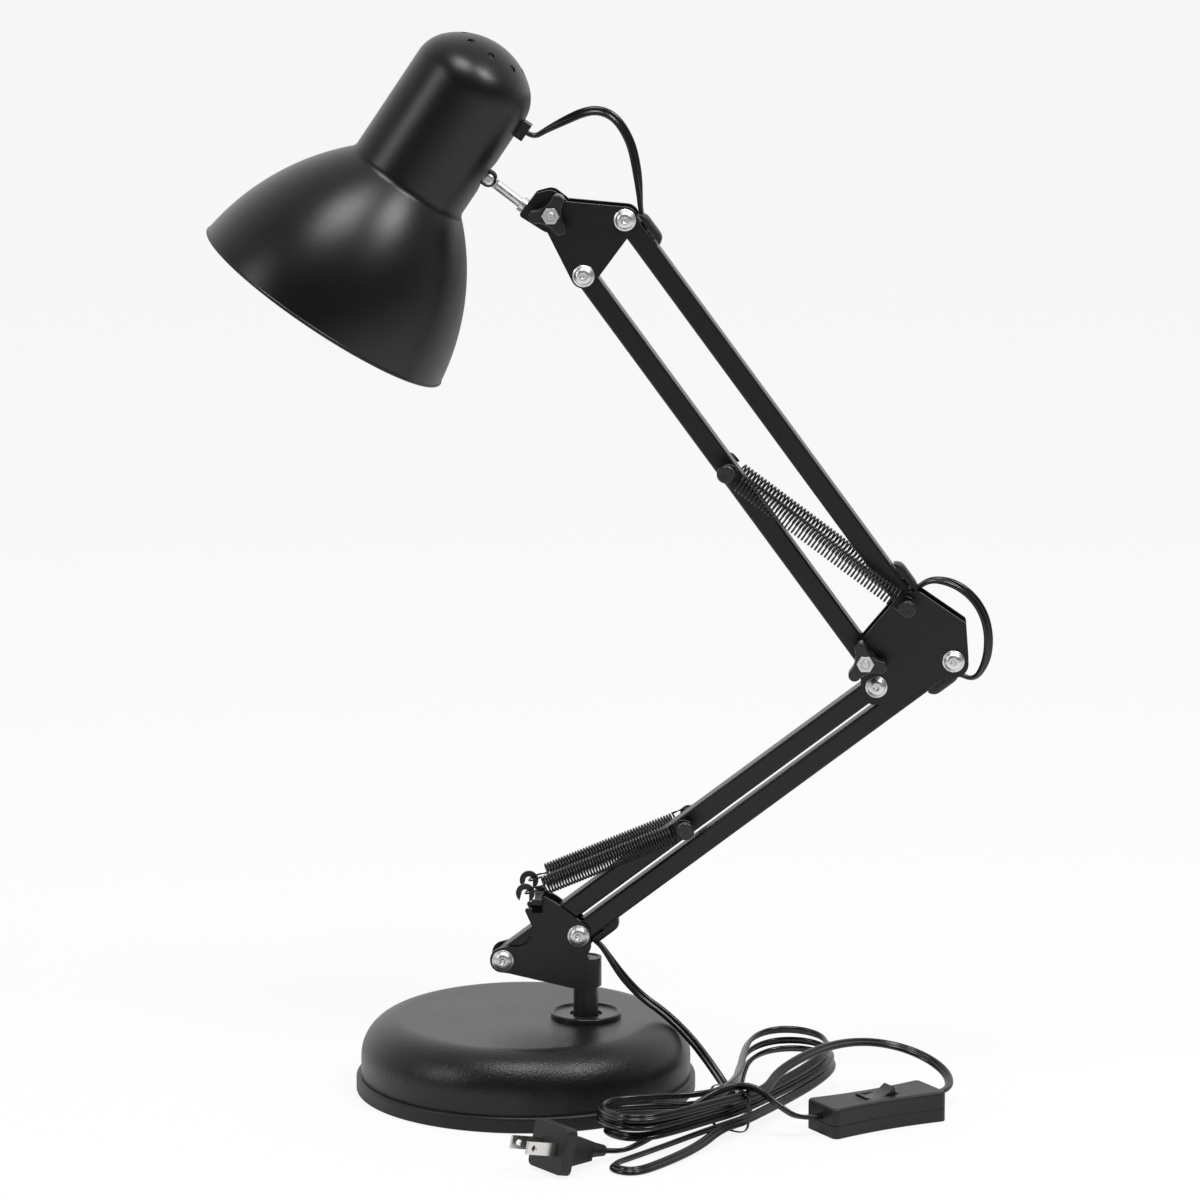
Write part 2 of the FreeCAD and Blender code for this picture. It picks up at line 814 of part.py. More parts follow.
def make_upper_arm():
    angle = dim("upper_angle")
    pin_play = f"{cell('pin_radius')} + {cell('pivot_play')}"
    make_bar("upper_left_bar", ELBOW_CLAMP, angle, "upper_length", pin="upper_pin_place")
    spring_pin("upper_spring_pin", ELBOW_CLAMP + polar(dim("upper_pin_place"), angle))
    make_bar("upper_right_bar", ELBOW_PIN, angle, "upper_length", near_play=pin_play, slotted=True)
    cable_clips("upper_bar_clips", ELBOW_PIN, angle, "upper_length")
    make_lead("upper_lead", ELBOW_PIN, angle, "upper_length")


# ---------------------------------------------------------------------------
# Elbow and head brackets
# ---------------------------------------------------------------------------
def plate_pair(label, outline, holes):
    """Two like plates, one on each side of the bars."""
    for side, name in ((-1, f"{label}_front_plate"), (1, f"{label}_rear_plate")):
        plate = padded_body(f"{name}_body", outline, holes, cell("plate_thickness"), reversed_=side > 0)
        node(plate, name, Place(V(0, side * PLATE_INNER, 0), Turn()))


def make_elbow():
    bolt_hole = f"{cell('pivot_radius')} + 0.05"
    outline = rounded_outline([
        (ELBOW_REAR.x - 8.4, 232.0, 1.5),
        (187.0, 257.2, 4),
        (195.4, 257.2, 4),
        (218.2, 241.6, 2.5),
        (220.2, 215.8, 7),
        (207.2, 212.8, 6),
        (195.9, 208.5, 4),
        (183.6, 201.0, 5),
        (167.0, 199.6, 7),
    ])
    holes = [(p.x, p.z, bolt_hole) for p in (ELBOW_REAR, ELBOW_FRONT, ELBOW_CLAMP)]
    holes.append((ELBOW_PIN.x, ELBOW_PIN.z, f"{cell('pin_radius')} + 0.05"))
    plate_pair("elbow", outline, holes)
    pivot_set("elbow", [ELBOW_REAR, ELBOW_FRONT])
    spring_pin("elbow_spring_pin", ELBOW_PIN)
    clamp("elbow", ELBOW_CLAMP, -12)


def make_head_bracket():
    bolt_hole = f"{cell('pivot_radius')} + 0.05"
    pivots = [HEAD_LOW, HEAD_HIGH, HEAD_CLAMP]
    outline = rounded_outline(hull_corners([(p.x, p.z) for p in pivots], 6.3))
    plate_pair("head", outline, [(p.x, p.z, bolt_hole) for p in pivots])
    pivot_set("head", [HEAD_LOW, HEAD_HIGH])
    clamp("head", HEAD_CLAMP, 65)


def clamp(label, place, lobe_angle):
    """A clamp bolt from the rear and the three-lobed knob with its hex nut on the front."""
    boss = dim("knob_boss_length")
    head = dim("knob_head_length")
    knob_start = PLATE_OUTER + 0.3
    knob_end = knob_start + boss + head
    grip = PLATE_OUTER + knob_end + 1.6
    clamp_bolt = bolt(f"{label}_clamp_body", place + V(0, PLATE_OUTER, 0), grip, HEAD_BACKWARD)
    node(clamp_bolt, f"{label}_clamp_bolt")

    tip = dim("knob_tip_radius")
    round_ = 3.1
    edges = []
    for lobe in range(3):
        outward = math.radians(120 * lobe + lobe_angle)
        across = outward + math.pi / 2
        hub = V(math.cos(outward), math.sin(outward), 0) * (tip - round_)
        side = V(math.cos(across), math.sin(across), 0) * round_
        next_outward = outward + 2 * math.pi / 3
        next_hub = V(math.cos(next_outward), math.sin(next_outward), 0) * (tip - round_)
        next_side = V(-math.sin(next_outward), math.cos(next_outward), 0) * round_
        point = V(math.cos(outward), math.sin(outward), 0) * tip
        edges.append(Part.Arc(hub - side, point, hub + side))
        edges.append(arc_through(hub + side, point.normalize() * -1, next_hub - next_side))
    lobes = padded_body(f"{label}_lobes", edges, [], cell("knob_head_length"))
    lobes.Placement = Place(V(0, -boss, 0), Turn())
    round_edges(lobes, "0.9", lambda edge: all(abs(v.Point.y + head) < 1e-6 for v in edge.Vertexes))
    boss_rod = rod(f"{label}_boss", cell("knob_boss_radius"), f"{cell('knob_boss_length')} + 1",
                   V(0, 0, 0), V(0, -1, 0))
    nut_depth = 3
    pocket = doc.addObject("Part::Prism", f"{label}_nut_pocket")
    pocket.Polygon = 6
    bind(pocket, Circumradius="7.7 / sqrt(3)", Height="10")
    pocket.Placement = Place(V(0, -boss - head + nut_depth, 0), HEAD_FORWARD)
    bore = rod(f"{label}_knob_bore", f"{cell('pivot_radius')} + {cell('pivot_play')}", 30,
               V(0, 5, 0), V(0, -1, 0))
    knob = cut(f"{label}_knob_cut", join(f"{label}_knob_solid", lobes, boss_rod), pocket, bore)
    node(knob, f"{label}_knob", Place(place + V(0, -knob_start, 0), Turn()))

    nut = doc.addObject("Part::Prism", f"{label}_knob_nut_prism")
    nut.Polygon = 6
    bind(nut, Circumradius="7.6 / sqrt(3)", Height=f"{nut_depth} + 0.9")
    nut.Placement = Place(V(0, 0, 0), HEAD_FORWARD)
    nut_bore = rod(f"{label}_knob_nut_bore", f"{cell('pivot_radius')} + {cell('pivot_play')}", 20,
                   V(0, 5, 0), V(0, -1, 0))
    node(cut(f"{label}_knob_nut_cut", nut, nut_bore), f"{label}_knob_nut",
         Place(place + V(0, -knob_end + nut_depth, 0), Turn()))


# ---------------------------------------------------------------------------
# Yoke, rod and shade
# ---------------------------------------------------------------------------
rod_way = (KNUCKLE - YOKE_WEB).normalize()
ROD_ANGLE = math.degrees(math.atan2(rod_way.z, rod_way.x))
ROD_DROP = (YOKE_WEB - HEAD_CLAMP).dot(V(rod_way.z, 0, -rod_way.x))
WEB_FROM = 10.6
EAR_INNER = 4.5


def make_yoke():
    """The folded yoke that tilts on the head clamp. Its frame has X along the rod and the clamp at the origin."""
    drop = -ROD_DROP
    outline = rounded_outline([
        (-9.0, -9.2, 8.4),
        (4.0, -10.4, 5),
        (WEB_FROM + 1.5, -11.2, 1.5),
        (WEB_FROM + 1.5, 2.6, 3),
        (7.0, 9.2, 6),
        (-9.0, 9.2, 8.4),
    ])
    flipped = Turn(V(1, 0, 0), 180) if drop > 0 else Turn()
    ears = []
    hole = [(0, 0, f"{cell('pivot_radius')} + {cell('pivot_play')}")]
    for side, name in ((-1, "front_ear"), (1, "rear_ear")):
        ear = padded_body(name, outline, hole, cell("plate_thickness"), reversed_=side > 0)
        ear.Placement = Place(V(0, side * EAR_INNER, 0), Turn())
        ears.append(ear)
    web = block("yoke_web", (WEB_FROM, -EAR_INNER, -10.6), (WEB_FROM + 1.5, EAR_INNER, 0.6))
    solid = join("yoke_sheet", *ears, web)
    rod_hole = rod("yoke_rod_hole", f"{cell('rod_radius')} + {cell('pivot_play')}", 20,
                   V(0, 0, -abs(ROD_DROP)), V(1, 0, 0))
    yoke = cut("yoke_cut", solid, rod_hole)
    frame = swing(HEAD_CLAMP, ROD_ANGLE).multiply(Place(V(), flipped))
    node(yoke, "head_yoke", frame)


def make_rod():
    """The threaded rod from the yoke to the shade, with its collar, eye and inner nut."""
    origin = HEAD_CLAMP + V(rod_way.z, 0, -rod_way.x) * ROD_DROP
    reach = (KNUCKLE - origin).dot(rod_way)
    frame = swing(origin, ROD_ANGLE)
    shaft = rod("rod_shaft", cell("rod_radius"), reach - 2.5 - 5.6, V(5.6, 0, 0), V(1, 0, 0))
    collar = rod("rod_collar", "3.9", "2.6", V(WEB_FROM + 1.7, 0, 0), V(1, 0, 0))
    eye = rod("rod_eye", "2.8", "3", V(reach, 1.5, 0), V(0, -1, 0))
    eye_hole = rod("rod_eye_hole", f"1.5 + {cell('pivot_play')}", "8", V(reach, 4, 0), V(0, -1, 0))
    side_cuts = [
        block("rod_flat_front", (reach - 5.2, -4, -4), (reach + 4, -1.5, 4)),
        block("rod_flat_rear", (reach - 5.2, 1.5, -4), (reach + 4, 4, 4)),
    ]
    solid = join("rod_solid", shaft, collar, eye)
    node(cut("rod_cut", solid, eye_hole, *side_cuts), "shade_rod", frame)

    nut = doc.addObject("Part::Prism", "rod_nut_prism")
    nut.Polygon = 6
    bind(nut, Circumradius="7 / sqrt(3)", Height="3")
    nut.Placement = Place(V(WEB_FROM - 3.2, 0, 0), Turn(V(0, 0, 1), V(1, 0, 0)))
    bore = rod("rod_nut_bore", f"{cell('rod_radius')} + 0.03", "10", V(WEB_FROM - 6, 0, 0), V(1, 0, 0))
    node(cut("rod_nut_cut", nut, bore), "rod_nut", frame)


def shade_frame():
    """The shade's frame: the origin is where neck and bell meet, Z points to the dome, X to the rod."""
    return Place(SHADE_NECK, Turn(V(0, 1, 0), dim("shade_lean")))


def bell_edges(inset):
    """Half the shade's section, set in by a distance, from the mouth up the bell and neck and over the dome."""
    neck = dim("neck_radius") - inset
    mouth = dim("mouth_radius") - inset
    depth = dim("bell_depth")
    length = dim("neck_length")
    dome = dim("dome_height")
    foot = V(neck + 0.9, -0.6 - inset * 0.7, 0)
    bulge = V(54.2 - inset * 0.8, -30.4 - inset * 0.6, 0)
    flare = Part.Arc(V(mouth, -depth, 0), bulge, foot)
    blend = Part.LineSegment(foot, V(neck, 1.4, 0))
    side = Part.LineSegment(V(neck, 1.4, 0), V(neck, length, 0))
    shoulder = dim("dome_shoulder")
    offset = dim("neck_radius") - shoulder
    crown = (offset**2 + dome**2 - shoulder**2) / (2 * (dome - shoulder))
    crown_centre = V(0, length + dome - crown, 0)
    outward = (V(offset, length, 0) - crown_centre).normalize()
    joint = crown_centre + outward * (crown - inset)
    top = V(0, length + dome - inset, 0)
    rounded = arc_through(V(neck, length, 0), V(0, 1, 0), joint)
    cap = arc_through(joint, V(-outward.y, outward.x, 0), top)
    return [flare, blend, side, rounded, cap]


def make_shade():
    frame = shade_frame()
    wall = dim("shade_wall")
    depth = dim("bell_depth")
    outer = bell_edges(0)
    inner = bell_edges(wall)
    mouth = dim("mouth_radius")
    dome_top = dim("neck_length") + dim("dome_height")
    rolled = 0.9
    rim = Part.Arc(V(mouth, -depth, 0), V(mouth - wall / 2, -depth - 2 * rolled, 0), V(mouth - wall, -depth, 0))
    crown = Part.LineSegment(V(0, dome_top, 0), V(0, dome_top - wall, 0))
    shell = turned_body("shade_shell", outer + inner + [rim, crown])
    knuckle_level = frame.inverse().multVec(KNUCKLE).z
    ports = [rod("knuckle_port", "8", "20", V(dim("neck_radius") - 8, 0, knuckle_level), V(1, 0, 0)),
             rod("grommet_port", "2.6", "20", V(dim("neck_radius") - 8, 0, GROMMET_LEVEL), V(1, 0, 0))]
    for index in range(VENTS):
        angle = 2 * math.pi * index / VENTS
        place = V(math.cos(angle), math.sin(angle), 0) * dim("vent_circle") + V(0, 0, dome_top - 12)
        ports.append(rod(f"vent_{index}", cell("vent_radius"), "20", place))
    node(cut("shade_cut", shell, *ports), "shade", frame)

    grommet = doc.addObject("Part::Feature", "grommet_feature")
    radius = dim("neck_radius") + 0.05
    block_ = Part.makeBox(5.0, 9, 9, V(dim("neck_radius") - 0.6, -4.5, GROMMET_LEVEL - 4.5))
    around = Part.makeCylinder(radius, 20, V(0, 0, GROMMET_LEVEL - 10))
    plug = Part.makeCylinder(2.55, 2.8, V(dim("neck_radius") - 1.8, 0, GROMMET_LEVEL), V(1, 0, 0))
    grommet.Shape = block_.cut(around).fuse(plug).removeSplitter()
    node(grommet, "shade_grommet", frame)

    holder = turned_body("holder_profile", profile_edges([
        (14.0, 6, 0),
        (18, 6, 0),
        (18, 22, 0),
        (16.5, 24, 0),
        (16.5, 44, 0),
        (12, 49, 0),
        (0, 49, 0),
        (0, 36, 0),
        (14.3, 36, 0),
        (14.3, 10, 0),
        (14.0, 10, 0),
    ]))
    node(holder, "lamp_holder", frame)

    thread = turned_body("thread_profile", profile_edges([
        (13.5, 10.4, 0),
        (14.2, 10.4, 0),
        (14.2, 35.9, 0),
        (3.5, 35.9, 0),
        (3.5, 35.2, 0),
        (13.5, 35.2, 0),
    ]))
    node(thread, "holder_thread", frame)

    knuckle_x = frame.inverse().multVec(KNUCKLE).x
    strap_x = 27.4
    ears = []
    for side in (-1, 1):
        name = f"strap_ear_{'front' if side < 0 else 'rear'}"
        low = min(side * 1.75, side * 3.25)
        ear = block(name, (strap_x, low, knuckle_level - 4), (knuckle_x, low + 1.5, knuckle_level + 4))
        tip = rod(f"{name}_tip", "4", "1.5", V(knuckle_x, low, knuckle_level), V(0, 1, 0))
        ears += [ear, tip]
    strip = block("strap_strip", (strap_x, -5, knuckle_level - 5), (strap_x + 1.5, 5, 50.5))
    top = block("strap_top", (-9, -5, 49), (strap_x + 1.5, 5, 50.5))
    strap = join("strap_sheet", *ears, strip, top)
    pin_hole = rod("strap_pin_hole", "1.55", "20", V(knuckle_x, -10, knuckle_level), V(0, 1, 0))
    node(cut("strap_cut", strap, pin_hole), "holder_strap", frame)

    screw = turned_body("knuckle_screw_profile", profile_edges([
        (0, -4.6, 0),
        (1.5, -4.6, 0),
        (1.5, 3.25, 0),
        (2.9, 3.25, 0),
        (2.9, 4.2, 0),
        ((2.3, 4.9, 0), (1.2, 5.2, 0)),
        (0, 5.2, 0),
    ]))
    node(screw, "knuckle_screw", Place(KNUCKLE, HEAD_FORWARD))


VENTS = 8
GROMMET_LEVEL = 52.5


# ---------------------------------------------------------------------------
# Springs
# ---------------------------------------------------------------------------
def spring_edges(start, end, eye_at_start, eye_at_end):
    """A coil between two anchors, with an eye at each end. Each eye lies in the arms' plane round a pin
    ("pin"), or stands across it through a hook ("hook")."""
    coil = dim("spring_coil")
    wire = dim("spring_wire")
    curls = int(dim("spring_curls"))
    axis = (end - start).normalize()
    span = start.distanceToPoint(end)
    flat = V(0, 1, 0).cross(axis)
    across = V(0, 1, 0)

    def eye(anchor, inward, kind):
        """The eye's arc and the point where the coil takes over, from the anchor inwards."""
        lift = flat if kind == "pin" else across
        slack = coil - wire / 2 - (dim("pin_radius") if kind == "pin" else 0) - 0.25
        centre = anchor + inward * (slack if kind == "pin" else coil)
        return centre, lift

    first_centre, first_lift = eye(start, axis, eye_at_start)
    last_centre, last_lift = eye(end, axis * -1, eye_at_end)
    run_in = coil + 1.5
    low = (first_centre - start).dot(axis) + run_in
    high = span - (end - last_centre).dot(axis) - run_in
    turn_gap = first_lift.getAngle(last_lift)
    total = curls * 2 * math.pi
    if turn_gap > 0.1:
        total += math.pi / 2
    other = axis.cross(first_lift)

    def coil_point(p):
        angle = p * total
        radial = first_lift * math.cos(angle) + other * math.sin(angle)
        return start + axis * (low + (high - low) * p) + radial * coil

    steps = curls * 2
    edges = []
    far_side = first_centre - axis * coil
    open_end = first_centre - first_lift * coil
    edges.append(Part.Arc(open_end, far_side, first_centre + first_lift * coil))
    lead_in = first_centre + first_lift * coil
    coil_start = coil_point(0)
    nudge = 1e-5
    heading = (coil_point(nudge) - coil_start).normalize()
    edges.append(Part.LineSegment(lead_in, lead_in + axis * wire))
    edges += biarc(lead_in + axis * wire, axis, coil_start, heading)
    edges += curve_wire(coil_point, [i / steps for i in range(steps + 1)])
    coil_end = coil_point(1)
    leaving = (coil_end - coil_point(1 - nudge)).normalize()
    final_lift = (coil_end - start - axis * (coil_end - start).dot(axis)).normalize()
    lead_out = last_centre + final_lift * coil
    edges += biarc(coil_end, leaving, lead_out - axis * wire, axis)
    edges.append(Part.LineSegment(lead_out - axis * wire, lead_out))
    edges.append(Part.Arc(lead_out, last_centre + axis * coil, last_centre - final_lift * coil))
    pitch = (high - low) * 2 * math.pi / total
    return edges, pitch - wire


def make_springs():
    lower_pin = BRACKET_REAR + polar(dim("lower_pin_place"), dim("lower_angle"))
    upper_pin = ELBOW_CLAMP + polar(dim("upper_pin_place"), dim("upper_angle"))
    for side, word in ((-1, "front"), (1, "rear")):
        level = V(0, side * SIDE, 0)
        runs = {
            f"lower_{word}_spring": (HOOK + level, lower_pin + level, "hook", "pin"),
            f"upper_{word}_spring": (upper_pin + level, ELBOW_PIN + level, "pin", "pin"),
        }
        for label, (start, end, first_eye, last_eye) in runs.items():
            edges, gap = spring_edges(start, end, first_eye, last_eye)
            tube(label, edges, dim("spring_wire") / 2)
            print(f"{label}: gap between curls {gap:.2f}")


# ---------------------------------------------------------------------------
# Cords
# ---------------------------------------------------------------------------
def in_bar(pivot, angle, point):
    return swing(pivot, angle).multVec(point)


HEAD_LOOP = [V(11.4, 0, 483.4), V(20.2, 0, 487.9), V(29.0, 0, 492.0), V(36.2, 0, 493.2), V(43.4, 0, 490.6),
             V(48.6, 0, 484.6), V(52.8, 0, 476.0), V(55.0, 0, 466.0), V(56.4, 0, 456.0)]
ELBOW_LOOP = [V(199.8, 0, 262.0), V(208.0, 0, 261.6), V(216.0, 0, 258.2), V(223.2, 0, 251.6),
              V(228.0, 0, 242.6), V(229.8, 0, 231.6), V(228.4, 0, 220.6), V(222.8, 0, 211.4)]


def make_loops():
    """The lead's two slack loops past the head and the elbow, held at both ends."""
    face = -dim("bar_width") / 2 - LEAD_HEIGHT
    lower = dim("lower_angle")
    upper = dim("upper_angle")
    grommet_end = shade_frame().multVec(V(dim("neck_radius") + 4.4, 0, GROMMET_LEVEL))
    outward = shade_frame().Rotation.multVec(V(1, 0, 0))
    head_end = in_bar(ELBOW_PIN, upper, V(dim("upper_length") - CLIP_START, 0, face))
    head_way = in_bar(ELBOW_PIN, upper, V(dim("upper_length") - CLIP_START + 2, 0, face))
    points = [grommet_end, grommet_end + outward * 4] + HEAD_LOOP + [head_way, head_end]
    tube("head_loop", route_edges("head_loop", points), CORD / 2)

    top_end = in_bar(ELBOW_PIN, upper, V(CLIP_START, 0, face))
    top_way = in_bar(ELBOW_PIN, upper, V(CLIP_START - 2, 0, face))
    low_end = in_bar(BRACKET_FRONT, lower, V(dim("lower_length") - CLIP_START, 0, face))
    low_way = in_bar(BRACKET_FRONT, lower, V(dim("lower_length") - CLIP_START + 2, 0, face))
    points = [top_end, top_way] + ELBOW_LOOP + [low_way, low_end]
    tube("elbow_loop", route_edges("elbow_loop", points), CORD / 2)


# The hank lies in front of and to the right of the base. Its spine bends at the waist, where it is tied.
WAIST = V(105, -74, 0)
SPINE_MIDDLE = 52
SPINE_BEND = 44
BEND_LENGTH = 44
LEFT_REACH = 73
RIGHT_REACH = 109
LEFT_FULLNESS = 47
RIGHT_FULLNESS = 56
WAIST_HALF = 9
WAIST_HEIGHT = 6.8
RIGHT_LIFT = 8
LAYERS = 4


def spine(u):
    """Place and direction angle on the hank's spine, u along it from the waist."""
    half = BEND_LENGTH / 2
    bend = math.radians(SPINE_BEND)
    middle = math.radians(SPINE_MIDDLE)
    radius = BEND_LENGTH / bend
    inside = max(-half, min(half, u))
    angle = middle + inside / radius
    centre = WAIST + V(-math.sin(middle), math.cos(middle), 0) * radius
    place = centre + V(math.sin(angle), -math.cos(angle), 0) * radius
    rest = u - inside
    return place + V(math.cos(angle), math.sin(angle), 0) * rest, angle


def ease(x):
    """A smooth step from 0 to 1 while x goes from 0 to 1."""
    x = max(0.0, min(1.0, x))
    return x * x * (3 - 2 * x)


def hank_point(t):
    """The hank's line. t counts loops, and each one passes the waist twice. The line spirals in and out in
    four layers and climbs a layer in the half loop where the spiral reverses."""
    span = dim("hank_turns") / LAYERS
    inward = abs((t / span + 1) % 2 - 1) * span
    phase = 2 * math.pi * t - math.pi / 2
    to_right = math.cos(phase) > 0
    reach = RIGHT_REACH if to_right else LEFT_REACH
    fullness = RIGHT_FULLNESS if to_right else LEFT_FULLNESS
    step = dim("hank_step") * inward
    u = (reach - step) * math.cos(phase)
    swell = (fullness - WAIST_HALF) * math.cos(phase) ** 2
    v = (WAIST_HALF - step + swell) * math.sin(phase)
    place, angle = spine(u)
    climb = sum(ease((t - k * span) * 2 + 0.5) for k in range(1, LAYERS))
    rise = RIGHT_LIFT * math.cos(phase) ** 2 if to_right else 0.0
    z = WAIST_HEIGHT + dim("hank_layer") * climb + rise
    return place + V(-math.sin(angle), math.cos(angle), 0) * v + V(0, 0, z)


def least_gap(curve, last, samples, radius):
    """The least gap between stretches of one tube that are more than a few diameters apart along it."""
    points = [curve(last * i / samples) for i in range(samples + 1)]
    along = [0.0]
    for a, b in zip(points, points[1:]):
        along.append(along[-1] + a.distanceToPoint(b))
    return min(
        a.distanceToPoint(points[j])
        for i, a in enumerate(points)
        for j in range(i + 1, len(points))
        if along[j] - along[i] > 12 * radius
    ) - 2 * radius


SWITCH_PLACE = V(177, -58, 0)
SWITCH_ANGLE = 34
ROCKER_TILT = 10
PLUG_PLACE = V(21, -150, 12.9)
PLUG_ANGLE = 39.7
PLUG_TILT = 13
PLUG_LENGTH = 34


def switch_frame():
    return Place(SWITCH_PLACE, Turn(V(0, 0, 1), SWITCH_ANGLE))


def plug_frame():
    """The plug's frame: the origin is the middle of its face and -X is the way the blades point. The plug
    lies on its face's lower edge, tilted so that the cord's end is near the floor."""
    return Place(PLUG_PLACE, Turn(V(0, 0, 1), PLUG_ANGLE).multiply(Turn(V(0, 1, 0), PLUG_TILT)))


def waist_frame():
    """The tie's frame: X runs across the hank at its waist and Y along it."""
    return Place(WAIST, Turn(V(0, 0, 1), SPINE_MIDDLE - 90))


def make_cord():
    radius = CORD / 2
    turns = dim("hank_turns")
    steps = int(turns * 8)
    parameters = [turns * i / steps for i in range(steps + 1)]
    nudge = 1e-4
    hank_start = hank_point(0)
    hank_end = hank_point(turns)
    arriving = (hank_point(nudge) - hank_start).normalize()
    leaving = (hank_end - hank_point(turns - nudge)).normalize()
    edges = [Part.LineSegment(hank_start - arriving * CORD, hank_start)]
    edges += curve_wire(hank_point, parameters)
    edges.append(Part.LineSegment(hank_end, hank_end + leaving * CORD))
    tube("cord_hank", edges, radius)
    print(f"cord_hank: least gap to itself {least_gap(hank_point, turns, 1200, radius):.2f}")

    face = -dim("bar_width") / 2 - LEAD_HEIGHT
    lower = dim("lower_angle")
    start = in_bar(BRACKET_FRONT, lower, V(CLIP_START, 0, face))
    out = in_bar(BRACKET_FRONT, lower, V(CLIP_START - 1.7, 0, face))
    inlet = hank_start - arriving * CORD
    points = [start, out] + DROP + FOLD + [inlet - arriving * 14, inlet]
    tube("mains_drop", route_edges("mains_drop", points), radius)

    outlet = hank_end + leaving * CORD
    entry = switch_frame().multVec(V(dim("switch_length") / 2, 4.5, 9))
    outward = switch_frame().Rotation.multVec(V(1, 0, 0))
    points = [outlet, outlet + leaving * 14] + SWITCH_LEAD + [entry + outward * 12, entry]
    tube("switch_lead", route_edges("switch_lead", points), radius)

    way_out = switch_frame().multVec(V(-dim("switch_length") / 2, 0, 9))
    plug_end = plug_frame().multVec(V(PLUG_LENGTH, 0, 0))
    plug_way = plug_frame().Rotation.multVec(V(1, 0, 0))
    points = [way_out, way_out - outward * 12] + PLUG_LEAD + [plug_end + plug_way * 9, plug_end]
    tube("plug_lead", route_edges("plug_lead", points), radius)

    half = WAIST_HALF + radius + 0.9
    top = WAIST_HEIGHT + dim("hank_layer") * LAYERS + radius + 0.8
    band = padded_body("tie_band", rounded_outline([
        (-half, 0.05, 4), (half, 0.05, 4), (half, top, 5), (-half, top, 5),
    ]) + rounded_outline([
        (0.5 - half, 0.55, 3.5), (half - 0.5, 0.55, 3.5), (half - 0.5, top - 0.5, 4.5), (0.5 - half, top - 0.5, 4.5),
    ]), [], "2.6")
    node(band, "cord_tie", waist_frame().multiply(Place(V(0, 1.3, 0), Turn())))


DROP = [V(37.7, 0, 74.2), V(42.6, 0, 67.0), V(49.0, 0, 57.5), V(58.5, -0.5, 47.5), V(70.5, -3, 39.8),
        V(83.5, -9, 28.8), V(94.5, -17, 16.5), V(103, -27, 6.8), V(110.5, -38, 2.8)]
FOLD = [V(114.5, -49, 2.75), V(111.5, -60.5, 2.75), V(103, -71.2, 2.75), V(90, -88, 2.5), V(77, -106, 2.2),
        V(63, -125, 2.0), V(48.5, -144.5, 2.0), V(62, -155.5, 2.0), V(77, -136, 2.2), V(92, -113, 3.6)]
SWITCH_LEAD = [V(128, -50, 23.5), V(140, -31, 26.6), V(155, -9, 27), V(172, 7, 24.5), V(190, 12, 20),
               V(205, 3, 15.5), V(213, -12, 11.5)]
PLUG_LEAD = [V(129, -83, 16), V(117.5, -77.5, 24.2), V(104.5, -75.5, 22.9), V(92, -83.5, 18.5),
             V(80, -93, 11.5), V(69, -103, 5.0), V(59, -113, 2.2)]


# ---------------------------------------------------------------------------
# Switch and plug
# ---------------------------------------------------------------------------
def switch_outline(inset):
    """The switch's plan: rounded ends and long sides that curve in at the middle."""
    half = dim("switch_length") / 2 - inset
    side = dim("switch_width") / 2 - inset
    waist = side - 2.2
    round_ = 3
    points = [(half - round_, side), (half, side - round_)]
    edges = []
    corner = round_ * (1 - math.sqrt(0.5))
    for sx, sy in ((1, 1), (-1, 1), (-1, -1), (1, -1)):
        long_end = V(sx * points[0][0], sy * points[0][1], 0)
        short_end = V(sx * points[1][0], sy * points[1][1], 0)
        middle = V(sx * (half - corner), sy * (side - corner), 0)
        edges.append(Part.Arc(long_end, middle, short_end))
    for sy in (1, -1):
        edges.append(Part.Arc(V(-(half - round_), sy * side, 0), V(0, sy * waist, 0), V(half - round_, sy * side, 0)))
    for sx in (1, -1):
        edges.append(Part.LineSegment(V(sx * half, side - round_, 0), V(sx * half, -(side - round_), 0)))
    return edges


def switch_shell(name, low, high):
    body = new_body(name)
    sketch = new_sketch(body, "XY_Plane", V(0, 0, low))
    for edge in switch_outline(0):
        sketch.addGeometry(edge)
    pad = body.newObject("PartDesign::Pad", f"{name}_pad")
    pad.Profile = sketch
    pad.Length = high - low
    return body


def make_switch():
    frame = switch_frame()
    seam = dim("switch_seam")
    height = dim("switch_height")
    half = dim("switch_length") / 2
    side = dim("switch_width") / 2
    wall = 1.8

    base = switch_shell("switch_base_shell", 0, seam)
    room = block("switch_base_room", (-half + 8, -side + 5.5, wall), (half - 8, side - 5.5, 20))
    node(cut("switch_base_cut", base, room), "switch_base", frame)

    cover = switch_shell("switch_cover_shell", seam + 0.15, height)
    round_edges(cover, "1.6", lambda edge: all(abs(v.Point.z - height) < 1e-6 for v in edge.Vertexes))
    hollow = block("switch_cover_room", (-half + 8, -side + 5.5, 0), (half - 8, side - 5.5, height - wall))
    window = block("switch_window", (-9.9, -5.2, 0), (9.9, 5.2, 30))
    node(cut("switch_cover_cut", cover, hollow, window), "switch_cover", frame)

    pivot = V(0, 0, height - 4)
    rocker = padded_body("rocker_profile", profile_edges([
        (-8.6, 5.2, 0),
        ((0, 3.7, 0), (8.6, 5.2, 0)),
        (8.8, 0, 0),
        (4.56, -1.5, 0),
        ((0, -4.8, 0), (-4.56, -1.5, 0)),
        (-8.8, 0, 0),
    ]), [], "9.6")
    tilted = Place(pivot, Turn(V(0, -1, 0), ROCKER_TILT)).multiply(Place(V(0, 4.8, 0), Turn()))
    node(rocker, "switch_rocker", frame.multiply(tilted))


